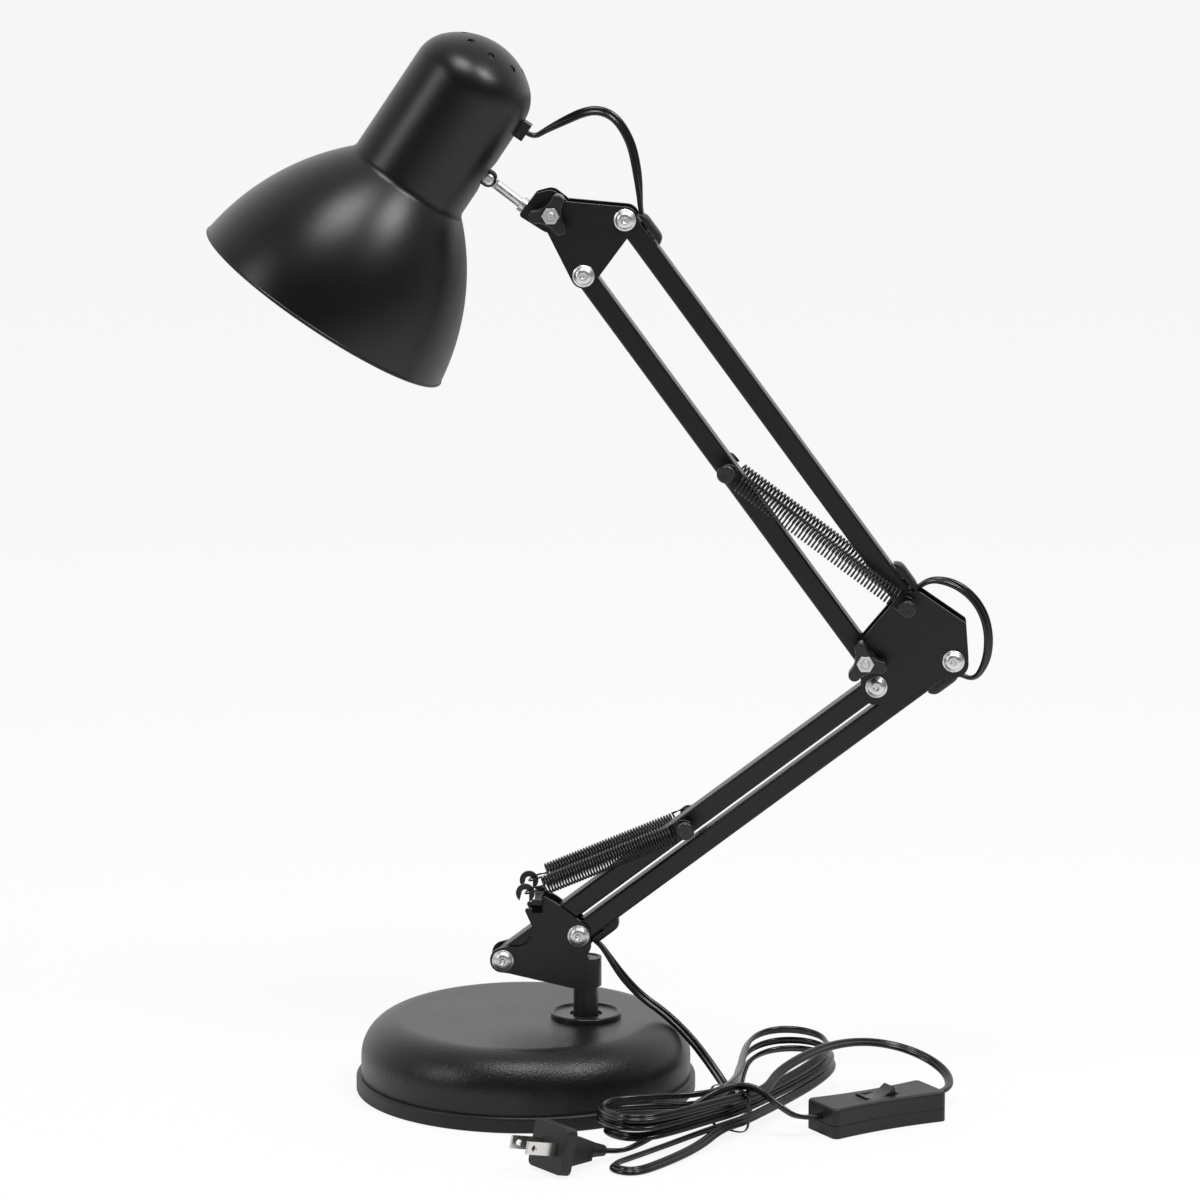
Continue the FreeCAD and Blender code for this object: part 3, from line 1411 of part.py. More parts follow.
def make_plug():
    frame = plug_frame()
    wide = dim("plug_face_width")
    tall = dim("plug_face_height")
    face = doc.addObject("Part::Feature", "plug_feature")
    plate = Part.makeBox(6, wide, tall, V(0, -wide / 2, -tall / 2))
    plate = plate.makeFillet(3, [e for e in plate.Edges if abs(e.tangentAt(0).x) > 0.9])
    sections = []
    for x, half_wide, half_tall in ((6, 9.5, 8.0), (24, 5.2, 4.6)):
        corners = [V(x, -half_wide, -half_tall), V(x, half_wide, -half_tall), V(x, half_wide, half_tall),
                   V(x, -half_wide, half_tall)]
        sections.append(Part.makePolygon(corners + corners[:1]))
    taper = Part.makeLoft(sections, True, True)
    relief = Part.makeCone(4.2, 2.7, PLUG_LENGTH - 24, V(24, 0, 0), V(1, 0, 0))
    slots = []
    for side in (-1, 1):
        slots.append(blade_box(side * dim("blade_spread") / 2, 0, 9))
    face.Shape = plate.fuse([taper, relief]).removeSplitter().cut(slots)
    node(face, "plug_body", frame)

    blades = []
    for side, word in ((-1, "near"), (1, "far")):
        middle = side * dim("blade_spread") / 2
        blade = block(f"blade_{word}",
                      (f"-{cell('blade_length')}", f"{middle} - {cell('blade_thickness')} / 2",
                       f"-{cell('blade_height')} / 2"),
                      ("9", f"{middle} + {cell('blade_thickness')} / 2", f"{cell('blade_height')} / 2"))
        hole = rod(f"blade_hole_{word}", "1.5", "6", V(-dim("blade_length") + 4, middle - 3, 0), V(0, 1, 0))
        blades.append(cut(f"blade_cut_{word}", blade, hole))
    node(group("blade_group", *blades), "plug_blades", frame)


def blade_box(middle, start, end):
    """The room that one blade takes in the plug."""
    thick = dim("blade_thickness")
    high = dim("blade_height")
    return Part.makeBox(end - start, thick, high, V(start, middle - thick / 2, -high / 2))


# ---------------------------------------------------------------------------
# Build, check and write
# ---------------------------------------------------------------------------
make_base()
make_swivel()
make_lower_arm()
make_elbow()
make_upper_arm()
make_head_bracket()
make_yoke()
make_rod()
make_shade()
make_springs()
make_loops()
make_cord()
make_switch()
make_plug()
doc.recompute()

for obj in doc.Objects:
    if "Invalid" in obj.State or "Error" in obj.State:
        raise RuntimeError(f"{obj.Name} ({obj.Label}) failed: {obj.State}")
os.makedirs("parts", exist_ok=True)
for obj in NODES:
    shape = obj.Shape
    if shape.isNull() or not shape.isValid() or not shape.Solids:
        raise RuntimeError(f"{obj.Label} has no valid solid")
    shape.exportStep(f"parts/{obj.Label}.step")
print(f"{len(NODES)} sub-parts written")
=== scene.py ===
# %% [markdown]
# # An accordion desk lamp
# The lamp's solids come packed from the CAD part and are never moved or changed here. This script gives
# them their finishes, and makes new surfaces where a solid is only a stand-in: the flexes, the springs,
# the shade, the base cover and a few trims. Everything is in metres, with +Z up, and the arms swing in
# the XZ plane.

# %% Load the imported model
import math

import bpy
import numpy as np
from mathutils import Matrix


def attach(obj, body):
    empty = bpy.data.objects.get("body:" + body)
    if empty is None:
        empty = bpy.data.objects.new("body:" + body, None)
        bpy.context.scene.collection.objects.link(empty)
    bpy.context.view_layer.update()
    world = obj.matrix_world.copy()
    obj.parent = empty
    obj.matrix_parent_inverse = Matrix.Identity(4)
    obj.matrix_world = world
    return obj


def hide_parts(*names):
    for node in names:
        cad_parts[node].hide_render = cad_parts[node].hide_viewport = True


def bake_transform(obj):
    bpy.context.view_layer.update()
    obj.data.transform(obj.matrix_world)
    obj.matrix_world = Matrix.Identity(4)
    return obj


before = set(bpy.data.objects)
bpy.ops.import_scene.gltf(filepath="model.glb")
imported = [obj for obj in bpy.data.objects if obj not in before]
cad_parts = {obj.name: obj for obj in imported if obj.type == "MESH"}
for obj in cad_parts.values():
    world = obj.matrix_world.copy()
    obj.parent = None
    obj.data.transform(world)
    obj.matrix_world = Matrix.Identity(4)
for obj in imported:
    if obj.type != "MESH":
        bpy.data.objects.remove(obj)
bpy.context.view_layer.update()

# %% [markdown]
# ## Camera
# The photograph was taken from three metres away with a long lens, a little above the lamp and a few
# degrees to its right. A long lens keeps the bars parallel, so the camera stands just as far here, and
# its lens is set so that the foot's 170 mm fill the same share of the frame. No shift is needed.

# %% Camera
camera_data = bpy.data.cameras.new("camera")
camera = bpy.data.objects.new("camera", camera_data)
bpy.context.scene.collection.objects.link(camera)
camera.location = (0.2014, -2.8796, 0.8168)
camera.rotation_euler = (math.radians(90 - 11.119), 0, math.radians(3.261))
camera_data.lens = 178.2
camera_data.clip_end = 40
bpy.context.scene.camera = camera
print("camera", tuple(camera.location), "lens", camera_data.lens)

# %% [markdown]
# ## Surfaces from arrays
# Every new piece is a grid of points worked out as one array: a profile turned about an axis, or a
# section carried along a line. One function turns such a grid into a mesh, closes it where it should
# close, and shades it smooth apart from its real edges.

# %% Grid to mesh
MM = 0.001
EDGE_ANGLE = math.radians(32)
SOFT_ANGLE = math.radians(80)


def unit(vectors):
    """Vectors divided by their own lengths."""
    return vectors / np.maximum(np.linalg.norm(vectors, axis=-1, keepdims=True), 1e-12)


def grid_faces(rows, columns, wrap_rows):
    """Quads between neighbouring rows and columns of a grid. Columns always wrap, rows only if asked."""
    last = rows if wrap_rows else rows - 1
    row, column = np.meshgrid(np.arange(last), np.arange(columns), indexing="ij")
    below = (row + 1) % rows
    beside = (column + 1) % columns
    here, under = row * columns, below * columns
    corners = [here + column, here + beside, under + beside, under + column]
    return np.stack(corners, -1).reshape(-1, 4)


def piece(name, points, faces, body=None, material=None, edge_angle=EDGE_ANGLE):
    """A mesh object from points and faces, smooth apart from its edges, that rides on a body."""
    mesh = bpy.data.meshes.new(name)
    corners = np.asarray(points, float).reshape(-1, 3).tolist()
    mesh.from_pydata(corners, [], [list(map(int, face)) for face in faces])
    mesh.validate()
    mesh.polygons.foreach_set("use_smooth", np.ones(len(mesh.polygons), bool))
    mesh.set_sharp_from_angle(angle=edge_angle)
    mesh.update()
    obj = bpy.data.objects.new(name, mesh)
    bpy.context.scene.collection.objects.link(obj)
    if material is not None:
        mesh.materials.append(material)
    if body is not None:
        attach(obj, body)
    return obj


def swept(grid, closed_rows=False):
    """Points and faces of a tube-like grid. Open ends get a fan of triangles round a middle point."""
    rows, columns = grid.shape[:2]
    points = grid.reshape(-1, 3)
    faces = grid_faces(rows, columns, closed_rows).tolist()
    if not closed_rows:
        ends = np.stack([grid[0].mean(0), grid[-1].mean(0)])
        around = np.arange(columns)
        after = (around + 1) % columns
        first, last = len(points), len(points) + 1
        base = (rows - 1) * columns
        faces += [[first, int(b), int(a)] for a, b in zip(around, after)]
        faces += [[last, base + int(a), base + int(b)] for a, b in zip(around, after)]
        points = np.concatenate([points, ends])
    return points, faces


# %% [markdown]
# ## The flex's line
# A flex is one smooth line before it is a tube. Its route is a few points in millimetres, the same
# ones that the CAD tube follows, and a NURBS curve of order three runs through the middle of their
# runs. Blender works out the curve, and the finished line is read back from it.

# %% Smooth lines
def smooth_line(route, resolution=10):
    """The points of a NURBS curve of order three that has the route's points, in mm, as its controls."""
    curve = bpy.data.curves.new("route", "CURVE")
    curve.dimensions = "3D"
    spline = curve.splines.new("NURBS")
    spline.points.add(len(route) - 1)
    homogeneous = np.ones((len(route), 4))
    homogeneous[:, :3] = np.asarray(route, float) * MM
    spline.points.foreach_set("co", homogeneous.ravel())
    spline.order_u = 3
    spline.use_endpoint_u = True
    curve.resolution_u = resolution
    holder = bpy.data.objects.new("route", curve)
    bpy.context.scene.collection.objects.link(holder)
    mesh = bpy.data.meshes.new_from_object(holder)
    line = np.zeros(len(mesh.vertices) * 3)
    mesh.vertices.foreach_get("co", line)
    bpy.data.objects.remove(holder)
    bpy.data.curves.remove(curve)
    bpy.data.meshes.remove(mesh)
    return line.reshape(-1, 3)


def length_along(line):
    """The distance along a line from its start to each of its points."""
    return np.concatenate([[0.0], np.cumsum(np.linalg.norm(np.diff(line, axis=0), axis=1))])


# %% [markdown]
# ## A flat two-core flex
# The lamp's flex is the flat kind: two cores side by side, nearly 5 mm wide and 2.6 mm thick, with a
# shallow groove between them that catches a thin line of light. A free flex leans over as it bends, so
# the broad side shows from the front. The section is an oval whose broad sides dip in the middle, and
# it is carried along the line with its broad side turned out of level by a roll angle.

# %% Flex section and sweep
FLEX_WIDE = 4.7 * MM
FLEX_THICK = 2.6 * MM
GROOVE_DEPTH = 0.42
GROOVE_SHARE = 0.13


def flex_section(count=32):
    """An oval with full ends: width times the cosine, thickness times the sine to the power 0.75, less a
    narrow dip at the middle of each broad side."""
    turn = np.linspace(0, 2 * np.pi, count, endpoint=False)
    across = FLEX_WIDE / 2 * np.cos(turn)
    high = FLEX_THICK / 2 * np.sign(np.sin(turn)) * np.abs(np.sin(turn)) ** 0.75
    dip = 1 - GROOVE_DEPTH * np.exp(-((across / (GROOVE_SHARE * FLEX_WIDE)) ** 2))
    return np.stack([across, high * dip], 1)


def level_frames(line, window=9):
    """The broad and thin directions along a line: the broad one is level and square to the line. Its sign
    is carried along from point to point, and it is averaged over a few neighbours."""
    tangent = unit(np.gradient(line, axis=0))
    broad = unit(np.cross((0.0, 0.0, 1.0), tangent) + (0, 1e-6, 0))
    signs = np.sign((broad[1:] * broad[:-1]).sum(1))
    broad[1:] *= np.cumprod(np.where(signs == 0, 1, signs))[:, None]
    kernel = np.hanning(window + 2)[1:-1]
    kernel /= kernel.sum()
    padded = np.pad(broad, ((window // 2, window // 2), (0, 0)), mode="edge")
    broad = np.stack([np.convolve(padded[:, k], kernel, mode="valid") for k in range(3)], 1)
    broad = unit(broad - tangent * (broad * tangent).sum(1, keepdims=True))
    return broad, np.cross(tangent, broad)


def carried(line, section, roll=None):
    """A section carried along a line: each point is the line's, plus the section's two measures along the
    broad and thin directions, turned by the roll angle at that place."""
    broad, thin = level_frames(line)
    if roll is not None:
        cosine, sine = np.cos(roll)[:, None], np.sin(roll)[:, None]
        broad, thin = broad * cosine + thin * sine, thin * cosine - broad * sine
    return line[:, None] + broad[:, None] * section[None, :, :1] + thin[:, None] * section[None, :, 1:]


def flex_skin(line, roll=None):
    """The flex's section carried along a line, as a grid of points."""
    return carried(line, flex_section(), roll)


def flex(name, skin, material, body=None):
    """A length of flex from its skin, closed at both ends."""
    return piece(name, *swept(skin), body, material, SOFT_ANGLE)


# %% [markdown]
# ## Shader sums
# A material's pattern is arithmetic: one noise times a strength, plus another. The small class below
# stands for one value in the node tree, and Python's + and * on it add the Math nodes. Any other
# node comes from one method that takes its type, its settings and its inputs.

# %% Shader helpers
class Value:
    """A socket that carries one number over the surface."""

    def __init__(self, finish, socket):
        self.finish = finish
        self.socket = socket

    def math(self, operation, other):
        made = self.finish.node("ShaderNodeMath", {"operation": operation}, {0: self, 1: other})
        return Value(self.finish, made.outputs[0])

    def __add__(self, other):
        return self.math("ADD", other)

    def __mul__(self, other):
        return self.math("MULTIPLY", other)

    __radd__ = __add__
    __rmul__ = __mul__


class Finish:
    """A material's node tree while it is written."""

    def __init__(self, name):
        self.material = bpy.data.materials.new(name)
        self.material.use_nodes = True
        self.tree = self.material.node_tree
        self.shader = self.tree.nodes["Principled BSDF"]
        self.place = self.node("ShaderNodeTexCoord").outputs["Object"]

    def node(self, kind, settings=None, inputs=None):
        """A node with its settings made first, then its inputs linked or set."""
        made = self.tree.nodes.new(kind)
        for key, value in (settings or {}).items():
            setattr(made, key, value)
        for key, value in (inputs or {}).items():
            self.feed(made.inputs[key], value)
        return made

    def feed(self, socket, value):
        if isinstance(value, Value):
            value = value.socket
        if isinstance(value, bpy.types.NodeSocket):
            self.tree.links.new(value, socket)
        else:
            socket.default_value = value

    def noise(self, scale, detail=3.0, roughness=0.5, stretch=None):
        """Noise on the object's own coordinates, from 0 to 1, with scale in features per metre."""
        place = self.place
        if stretch is not None:
            place = self.node("ShaderNodeMapping", None, {"Vector": place, "Scale": stretch}).outputs[0]
        made = self.node("ShaderNodeTexNoise", None, {
            "Vector": place, "Scale": scale, "Detail": detail, "Roughness": roughness})
        return Value(self, made.outputs[0])

    def mix(self, factor, first, second):
        """A colour between two colours."""
        made = self.node("ShaderNodeMix", {"data_type": "RGBA"}, {0: factor, 6: first, 7: second})
        return made.outputs[2]

    def bump(self, height, distance, strength=1.0):
        made = self.node("ShaderNodeBump", None, {
            "Height": height, "Distance": distance, "Strength": strength})
        return made.outputs["Normal"]

    def write(self, **sockets):
        """Sets or links the shader's own sockets, with _ for a space in their names."""
        for key, value in sockets.items():
            self.feed(self.shader.inputs[key.replace("_", " ")], value)
        return self.material


def grey(level, warm=0.0):
    """A near-neutral colour, warmer than grey where warm is above 0."""
    return (level * (1 + warm), level, level * (1 - warm), 1.0)


# %% [markdown]
# ## Paint, plastic and metal
# The lamp is black all over, so its finishes differ by how they catch the light. The base has a coarse
# powder coat, whose grain sparkles where the light grazes it. The bars and plates have a smoother satin
# paint, and the shade a finer one still. The clips, knobs, switch and plug are moulded with a fine
# spark texture. Bolts, nuts and the rod are bright zinc, mottled and a little worn.

# %% Paints
def powder_coat(name, level, rough, grain, depth, spread=0.07):
    """Black powder coat: grain bumps of a given size, with colour and gloss that wander a little."""
    finish = Finish(name)
    fine = finish.noise(grain, 2.0, 0.55)
    broad = finish.noise(28.0, 3.0)
    height = fine * 0.75 + finish.noise(grain * 0.45, 2.0) * 0.45
    colour = finish.mix(broad * 0.6 + fine * 0.4, grey(level * 0.75), grey(level * 1.3, 0.02))
    return finish.write(
        Base_Color=colour,
        Roughness=broad * spread + fine * (spread * 0.6) + (rough - spread * 0.8),
        Normal=finish.bump(height, depth),
        Specular_IOR_Level=0.4,
    )


base_coat = powder_coat("base powder coat", 0.007, 0.34, 1100.0, 0.00022)
foot_coat = powder_coat("foot ring coat", 0.006, 0.42, 1500.0, 0.00010)
arm_coat = powder_coat("arm satin paint", 0.0035, 0.33, 2300.0, 0.00004)
bracket_coat = powder_coat("bracket satin paint", 0.0035, 0.35, 2000.0, 0.00005)
shade_coat = powder_coat("shade satin paint", 0.004, 0.34, 2600.0, 0.00004, 0.05)
fitting_coat = powder_coat("stem and pin black", 0.016, 0.30, 2400.0, 0.00002)
print("paints made")

# %% Plastics, metals and the rest
def moulded(name, level, rough, grain=2600.0, depth=0.00006):
    """Moulded black plastic with a fine spark-eroded texture and slightly polished patches."""
    finish = Finish(name)
    spark = finish.noise(grain, 4.0, 0.7)
    patch = finish.noise(70.0, 2.0)
    colour = finish.mix(patch, grey(level * 0.8), grey(level * 1.25))
    return finish.write(
        Base_Color=colour,
        Roughness=patch * 0.12 + spark * 0.08 + (rough - 0.1),
        Normal=finish.bump(spark, depth),
    )


def bare_metal(name, level, rough, warm=0.0, mottle=160.0):
    """Plated metal: bright with cloudy patches, fine rubbing marks, and darker specks."""
    finish = Finish(name)
    cloud = finish.noise(mottle, 4.0, 0.6)
    rubbed = finish.noise(900.0, 3.0, 0.6, (1.0, 1.0, 5.0))
    colour = finish.mix(cloud, grey(level * 0.72, warm), grey(level, warm))
    return finish.write(
        Base_Color=colour,
        Metallic=1.0,
        Roughness=cloud * 0.16 + rubbed * 0.10 + (rough - 0.12),
        Normal=finish.bump(rubbed * 0.6 + cloud * 0.4, 0.00004),
    )


def flex_vinyl():
    """Soft black vinyl: glossy, with a slow waviness and faint dull rubs."""
    finish = Finish("flex vinyl")
    rub = finish.noise(130.0, 3.0)
    wave = finish.noise(180.0, 1.0)
    colour = finish.mix(rub, grey(0.004), grey(0.008))
    return finish.write(
        Base_Color=colour, Roughness=rub * 0.14 + 0.17, Normal=finish.bump(wave, 0.00002))


def spring_wire():
    """Oil-blackened spring wire, satin with brighter rubs."""
    finish = Finish("spring wire black")
    rub = finish.noise(600.0, 3.0)
    colour = finish.mix(rub, grey(0.006), grey(0.03))
    return finish.write(Base_Color=colour, Metallic=0.35, Roughness=rub * 0.2 + 0.22)


def white_enamel():
    """The white paint inside the shade, a little uneven."""
    finish = Finish("inner white enamel")
    cloud = finish.noise(60.0, 3.0)
    peel = finish.noise(900.0, 2.0)
    colour = finish.mix(cloud, (0.74, 0.74, 0.72, 1), (0.82, 0.82, 0.80, 1))
    return finish.write(Base_Color=colour, Roughness=cloud * 0.1 + 0.35, Normal=finish.bump(peel, 0.00005))


plastic = moulded("moulded black plastic", 0.006, 0.44)
switch_plastic = moulded("switch textured plastic", 0.007, 0.44, 1600.0, 0.00014)
knob_plastic = moulded("knob plastic", 0.009, 0.30)
rubber = moulded("pad rubber", 0.035, 0.75, 900.0, 0.00012)
holder_plastic = moulded("holder thermoset", 0.022, 0.30)
zinc = bare_metal("bright zinc", 0.84, 0.36)
nickel = bare_metal("nickel plate", 0.82, 0.22, 0.03, 90.0)
brass = bare_metal("thread brass", 0.62, 0.34, 0.22)
iron = bare_metal("cast iron", 0.16, 0.62)
vinyl = flex_vinyl()
wire_black = spring_wire()
enamel = white_enamel()
print("materials", len(bpy.data.materials))

# %% [markdown]
# ## Finishes on the CAD solids
# Bars, plates, bolts and mouldings have the right shape already, so their solids stay and only get
# their finish. A real sheet-metal edge is never knife sharp: a small bevel on the solid's edges catches
# the thin line of light that outlines every plate in the photograph. The solids come as triangles, so
# flat faces are made whole first. All of this is modifiers, so the solid itself stays as it is.

# %% Dress the solids
DRESS = {
    "bracket": (bracket_coat, 0.30, [
        "arm_bracket", "elbow_front_plate", "elbow_rear_plate", "head_front_plate", "head_rear_plate",
        "head_yoke", "holder_strap"]),
    "bars": (arm_coat, 0.35, ["lower_rear_bar", "lower_front_bar", "upper_left_bar", "upper_right_bar"]),
    "fittings": (fitting_coat, 0.30, [
        "stem", "stem_socket", "lower_spring_pin", "upper_spring_pin", "elbow_spring_pin"]),
    "zinc": (zinc, 0.20, [
        "bracket_bolts", "bracket_nuts", "elbow_bolts", "elbow_nuts", "head_bolts", "head_nuts",
        "elbow_clamp_bolt", "head_clamp_bolt", "elbow_knob_nut", "head_knob_nut", "shade_rod", "rod_nut",
        "knuckle_screw", "socket_nut"]),
    "knobs": (knob_plastic, 0.30, ["elbow_knob", "head_knob"]),
    "mouldings": (plastic, 0.35, ["shade_grommet", "plug_body"]),
    "switch": (switch_plastic, 0.40, ["switch_base", "switch_cover"]),
    "holder": (holder_plastic, 0.30, ["lamp_holder"]),
    "thread": (brass, None, ["holder_thread"]),
    "blades": (nickel, 0.20, ["plug_blades"]),
    "weight": (iron, None, ["base_weight"]),
    "pad": (rubber, 0.30, ["base_pad"]),
}


def dress(node, material, bevel):
    """Gives a CAD solid its finish and, by modifiers, merged corners and a small bevel on its edges."""
    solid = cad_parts[node]
    solid.data.materials.clear()
    solid.data.materials.append(material)
    if bevel is None:
        return
    weld = solid.modifiers.new("merge corners", "WELD")
    weld.merge_threshold = 0.004 * MM
    flat = solid.modifiers.new("whole flat faces", "DECIMATE")
    flat.decimate_type = "DISSOLVE"
    flat.angle_limit = math.radians(0.6)
    rounding = solid.modifiers.new("edge rounding", "BEVEL")
    rounding.width = bevel * MM
    rounding.segments = 2
    rounding.limit_method = "ANGLE"
    rounding.angle_limit = math.radians(38)
    rounding.use_clamp_overlap = True
    shading = solid.modifiers.new("even shading", "WEIGHTED_NORMAL")
    shading.keep_sharp = False
    shading.weight = 60


for material, bevel, nodes in DRESS.values():
    for node in nodes:
        dress(node, material, bevel)
print("dressed", sum(len(nodes) for _, _, nodes in DRESS.values()), "solids")

# %% [markdown]
# ## Where the lead and the mains flex run
# One flex runs the whole way. From the shade it hangs in a slack loop to the upper bar, goes through
# that bar, loops past the elbow, goes through the lower bar and comes out under the bracket. From there
# it drops to the desk, folds once in front, is wound into a tied hank, and goes on through the switch to
# the plug. The bars' frames give the lead's points, and the rest are the CAD tube's own route points.

# %% Bar frames
LOWER_PIVOT = np.array((27.02, 0, 80.52))
UPPER_PIVOT = np.array((189.31, 0, 250.62))
LOWER_ANGLE = math.radians(37.5)
UPPER_ANGLE = math.radians(126.3)
LOWER_LENGTH = 233.5
UPPER_LENGTH = 235.4
CLIP = 5.0
LEAD_LEVEL = -6.95
BORE_LEVEL = -0.6


def on_bar(pivot, angle, along, out):
    """A point along a bar from its pivot, and out from the bar's middle."""
    step = np.array((math.cos(angle), 0, math.sin(angle)))
    outward = np.array((-math.sin(angle), 0, math.cos(angle)))
    return pivot + step * along + outward * out


def lead_route(pivot, angle, length):
    """Under one clip, in through the slot, along the bore and out under the other clip."""
    near = [(CLIP, LEAD_LEVEL), (CLIP + 2.2, LEAD_LEVEL), (13.8, BORE_LEVEL)]
    middle = [(length * share, BORE_LEVEL - 0.4) for share in (0.3, 0.5, 0.7)]
    far = [(length - along, out) for along, out in reversed(near)]
    return [on_bar(pivot, angle, along, out) for along, out in near + middle + far]


for name, body, pivot, angle, length in (
    ("lead_in_lower_bar", "lower_front_arm", LOWER_PIVOT, LOWER_ANGLE, LOWER_LENGTH),
    ("lead_in_upper_bar", "upper_right_arm", UPPER_PIVOT, UPPER_ANGLE, UPPER_LENGTH),
):
    lead = flex(name, flex_skin(smooth_line(lead_route(pivot, angle, length))), vinyl, body)
    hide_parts("lower_lead" if "lower" in name else "upper_lead")
print("leads inside the bars made")

# %% [markdown]
# ## Bar clips
# Where the flex enters and leaves a bar, a low moulded cap is snapped over it. It is a shallow hump on
# the bar's outer face: its height stays level and drops at both ends, and its section is a rounded
# rectangle. Both caps of one bar are one piece.

# %% Clips
CAP_HEIGHT, CAP_HALF, BAR_FACE = 3.2, 4.4, 5.9
CAP_NEAR, CAP_FAR = 2.0, 20.0


def cap_grid(near, far, count=40, around=25):
    """A hump from near to far along a bar: height 1 less the sixth power of the place along, section a
    half superellipse that stands on the bar's face. Along, across and out, in mm."""
    along = np.linspace(near, far, count)[:, None]
    share = 1 - np.abs(2 * (along - near) / (far - near) - 1) ** 6
    turn = np.linspace(0, np.pi, around)[None, :]
    height = 0.5 + CAP_HEIGHT * share
    half = CAP_HALF * (0.86 + 0.14 * share)
    side = half * np.sign(np.cos(turn)) * np.abs(np.cos(turn)) ** 0.5
    out = -BAR_FACE - height * np.abs(np.sin(turn)) ** 0.5
    return along + 0 * turn, side, out


for name, node, body, pivot, turn, length in (
    ("lower_clip_caps", "lower_bar_clips", "lower_front_arm", LOWER_PIVOT, LOWER_ANGLE, LOWER_LENGTH),
    ("upper_clip_caps", "upper_bar_clips", "upper_right_arm", UPPER_PIVOT, UPPER_ANGLE, UPPER_LENGTH),
):
    points, faces = [], []
    for near, far in ((CAP_NEAR, CAP_FAR), (length - CAP_FAR, length - CAP_NEAR)):
        along, side, out = cap_grid(near, far)
        grid = on_bar(pivot, turn, along[..., None], out[..., None]) + side[..., None] * np.array((0, 1, 0))
        some, quads = swept(grid * MM)
        before = sum(map(len, points))
        faces += [[corner + before for corner in quad] for quad in quads]
        points.append(some)
    caps = piece(name, np.concatenate(points), faces, body, plastic)
    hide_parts(node)
print("clip caps made")

# %% Route points, in millimetres
DROP = [(37.7, 0, 74.2), (42.6, 0, 67.0), (49.0, 0, 57.5), (58.5, -0.5, 47.5), (70.5, -3, 39.8),
        (83.5, -9, 28.8), (94.5, -17, 16.5), (103, -27, 6.8), (110.5, -38, 2.8)]
FOLD = [(114.5, -49, 2.75), (111.5, -60.5, 2.75), (103, -71.2, 2.75), (90, -88, 2.5), (77, -106, 2.2),
        (63, -125, 2.0), (48.5, -144.5, 2.0), (62, -155.5, 2.0), (77, -136, 2.2), (92, -113, 3.6)]
SWITCH_LEAD = [(128, -50, 23.5), (140, -31, 26.6), (155, -9, 27), (172, 7, 24.5), (190, 12, 20),
               (205, 3, 15.5), (213, -12, 11.5)]
PLUG_LEAD = [(129, -83, 16), (117.5, -77.5, 24.2), (104.5, -75.5, 22.9), (92, -83.5, 18.5),
             (80, -93, 11.5), (69, -103, 5.0), (59, -113, 2.2)]
HEAD_LOOP = [(11.4, 0, 483.4), (20.2, 0, 487.9), (29.0, 0, 492.0), (36.2, 0, 493.2), (43.4, 0, 490.6),
             (48.6, 0, 484.6), (52.8, 0, 476.0), (55.0, 0, 466.0), (56.4, 0, 456.0)]
ELBOW_LOOP = [(199.8, 0, 262.0), (208.0, 0, 261.6), (216.0, 0, 258.2), (223.2, 0, 251.6),
              (228.0, 0, 242.6), (229.8, 0, 231.6), (228.4, 0, 220.6), (222.8, 0, 211.4)]
print("route points", len(DROP) + len(FOLD) + len(SWITCH_LEAD) + len(PLUG_LEAD))

# %% [markdown]
# ## The hank
# Three long loops are wound one in the other and tied at the waist, so they fan out on both sides. The
# line is a formula: along the hank it goes out and back like a cosine, across it like a sine that swells
# with distance from the waist, and each quarter of the winding climbs one layer. The whole figure is laid
# along a spine that bends at the waist.

# %% Hank formula
WAIST = np.array((105.0, -74.0, 0.0))
SPINE_MIDDLE = math.radians(52)
SPINE_BEND = math.radians(44)
BEND_LENGTH = 44.0
REACH = (109.0, 73.0)
FULLNESS = (56.0, 47.0)
WAIST_HALF = 9.0
WAIST_HEIGHT = 6.8
RIGHT_LIFT = 8.0
LAYERS = 4
TURNS = 3
STEP = 7.0
LAYER = 4.2


def ease(x):
    """A smooth step from 0 to 1 while x goes from 0 to 1."""
    x = np.clip(x, 0, 1)
    return x * x * (3 - 2 * x)


def on_spine(u):
    """Place and direction angle on the spine, u mm along it from the waist: an arc with straight ends."""
    half = BEND_LENGTH / 2
    radius = BEND_LENGTH / SPINE_BEND
    inside = np.clip(u, -half, half)
    angle = SPINE_MIDDLE + inside / radius
    centre = WAIST + np.array((-math.sin(SPINE_MIDDLE), math.cos(SPINE_MIDDLE), 0)) * radius
    place = centre + np.stack([np.sin(angle), -np.cos(angle), 0 * angle], -1) * radius
    return place + np.stack([np.cos(angle), np.sin(angle), 0 * angle], -1) * (u - inside)[:, None], angle


def hank_points(t):
    """The winding at loop counts t, in mm."""
    span = TURNS / LAYERS
    inward = np.abs((t / span + 1) % 2 - 1) * span
    phase = 2 * np.pi * t - np.pi / 2
    right = np.cos(phase) > 0
    step = STEP * inward
    u = (np.where(right, *REACH) - step) * np.cos(phase)
    swell = (np.where(right, *FULLNESS) - WAIST_HALF) * np.cos(phase) ** 2
    v = (WAIST_HALF - step + swell) * np.sin(phase)
    place, angle = on_spine(u)
    climb = sum(ease((t - k * span) * 2 + 0.5) for k in range(1, LAYERS))
    rise = np.where(right, RIGHT_LIFT * np.cos(phase) ** 2, 0)
    up = np.stack([0 * t, 0 * t, WAIST_HEIGHT + LAYER * climb + rise], -1)
    return place + np.stack([-np.sin(angle), np.cos(angle), 0 * t], -1) * v[:, None] + up


POINTS_PER_LOOP = 20
hank = hank_points(np.linspace(0, TURNS, TURNS * POINTS_PER_LOOP + 1))
print("hank control points", len(hank), "top", round(float(hank[:, 2].max()), 1))

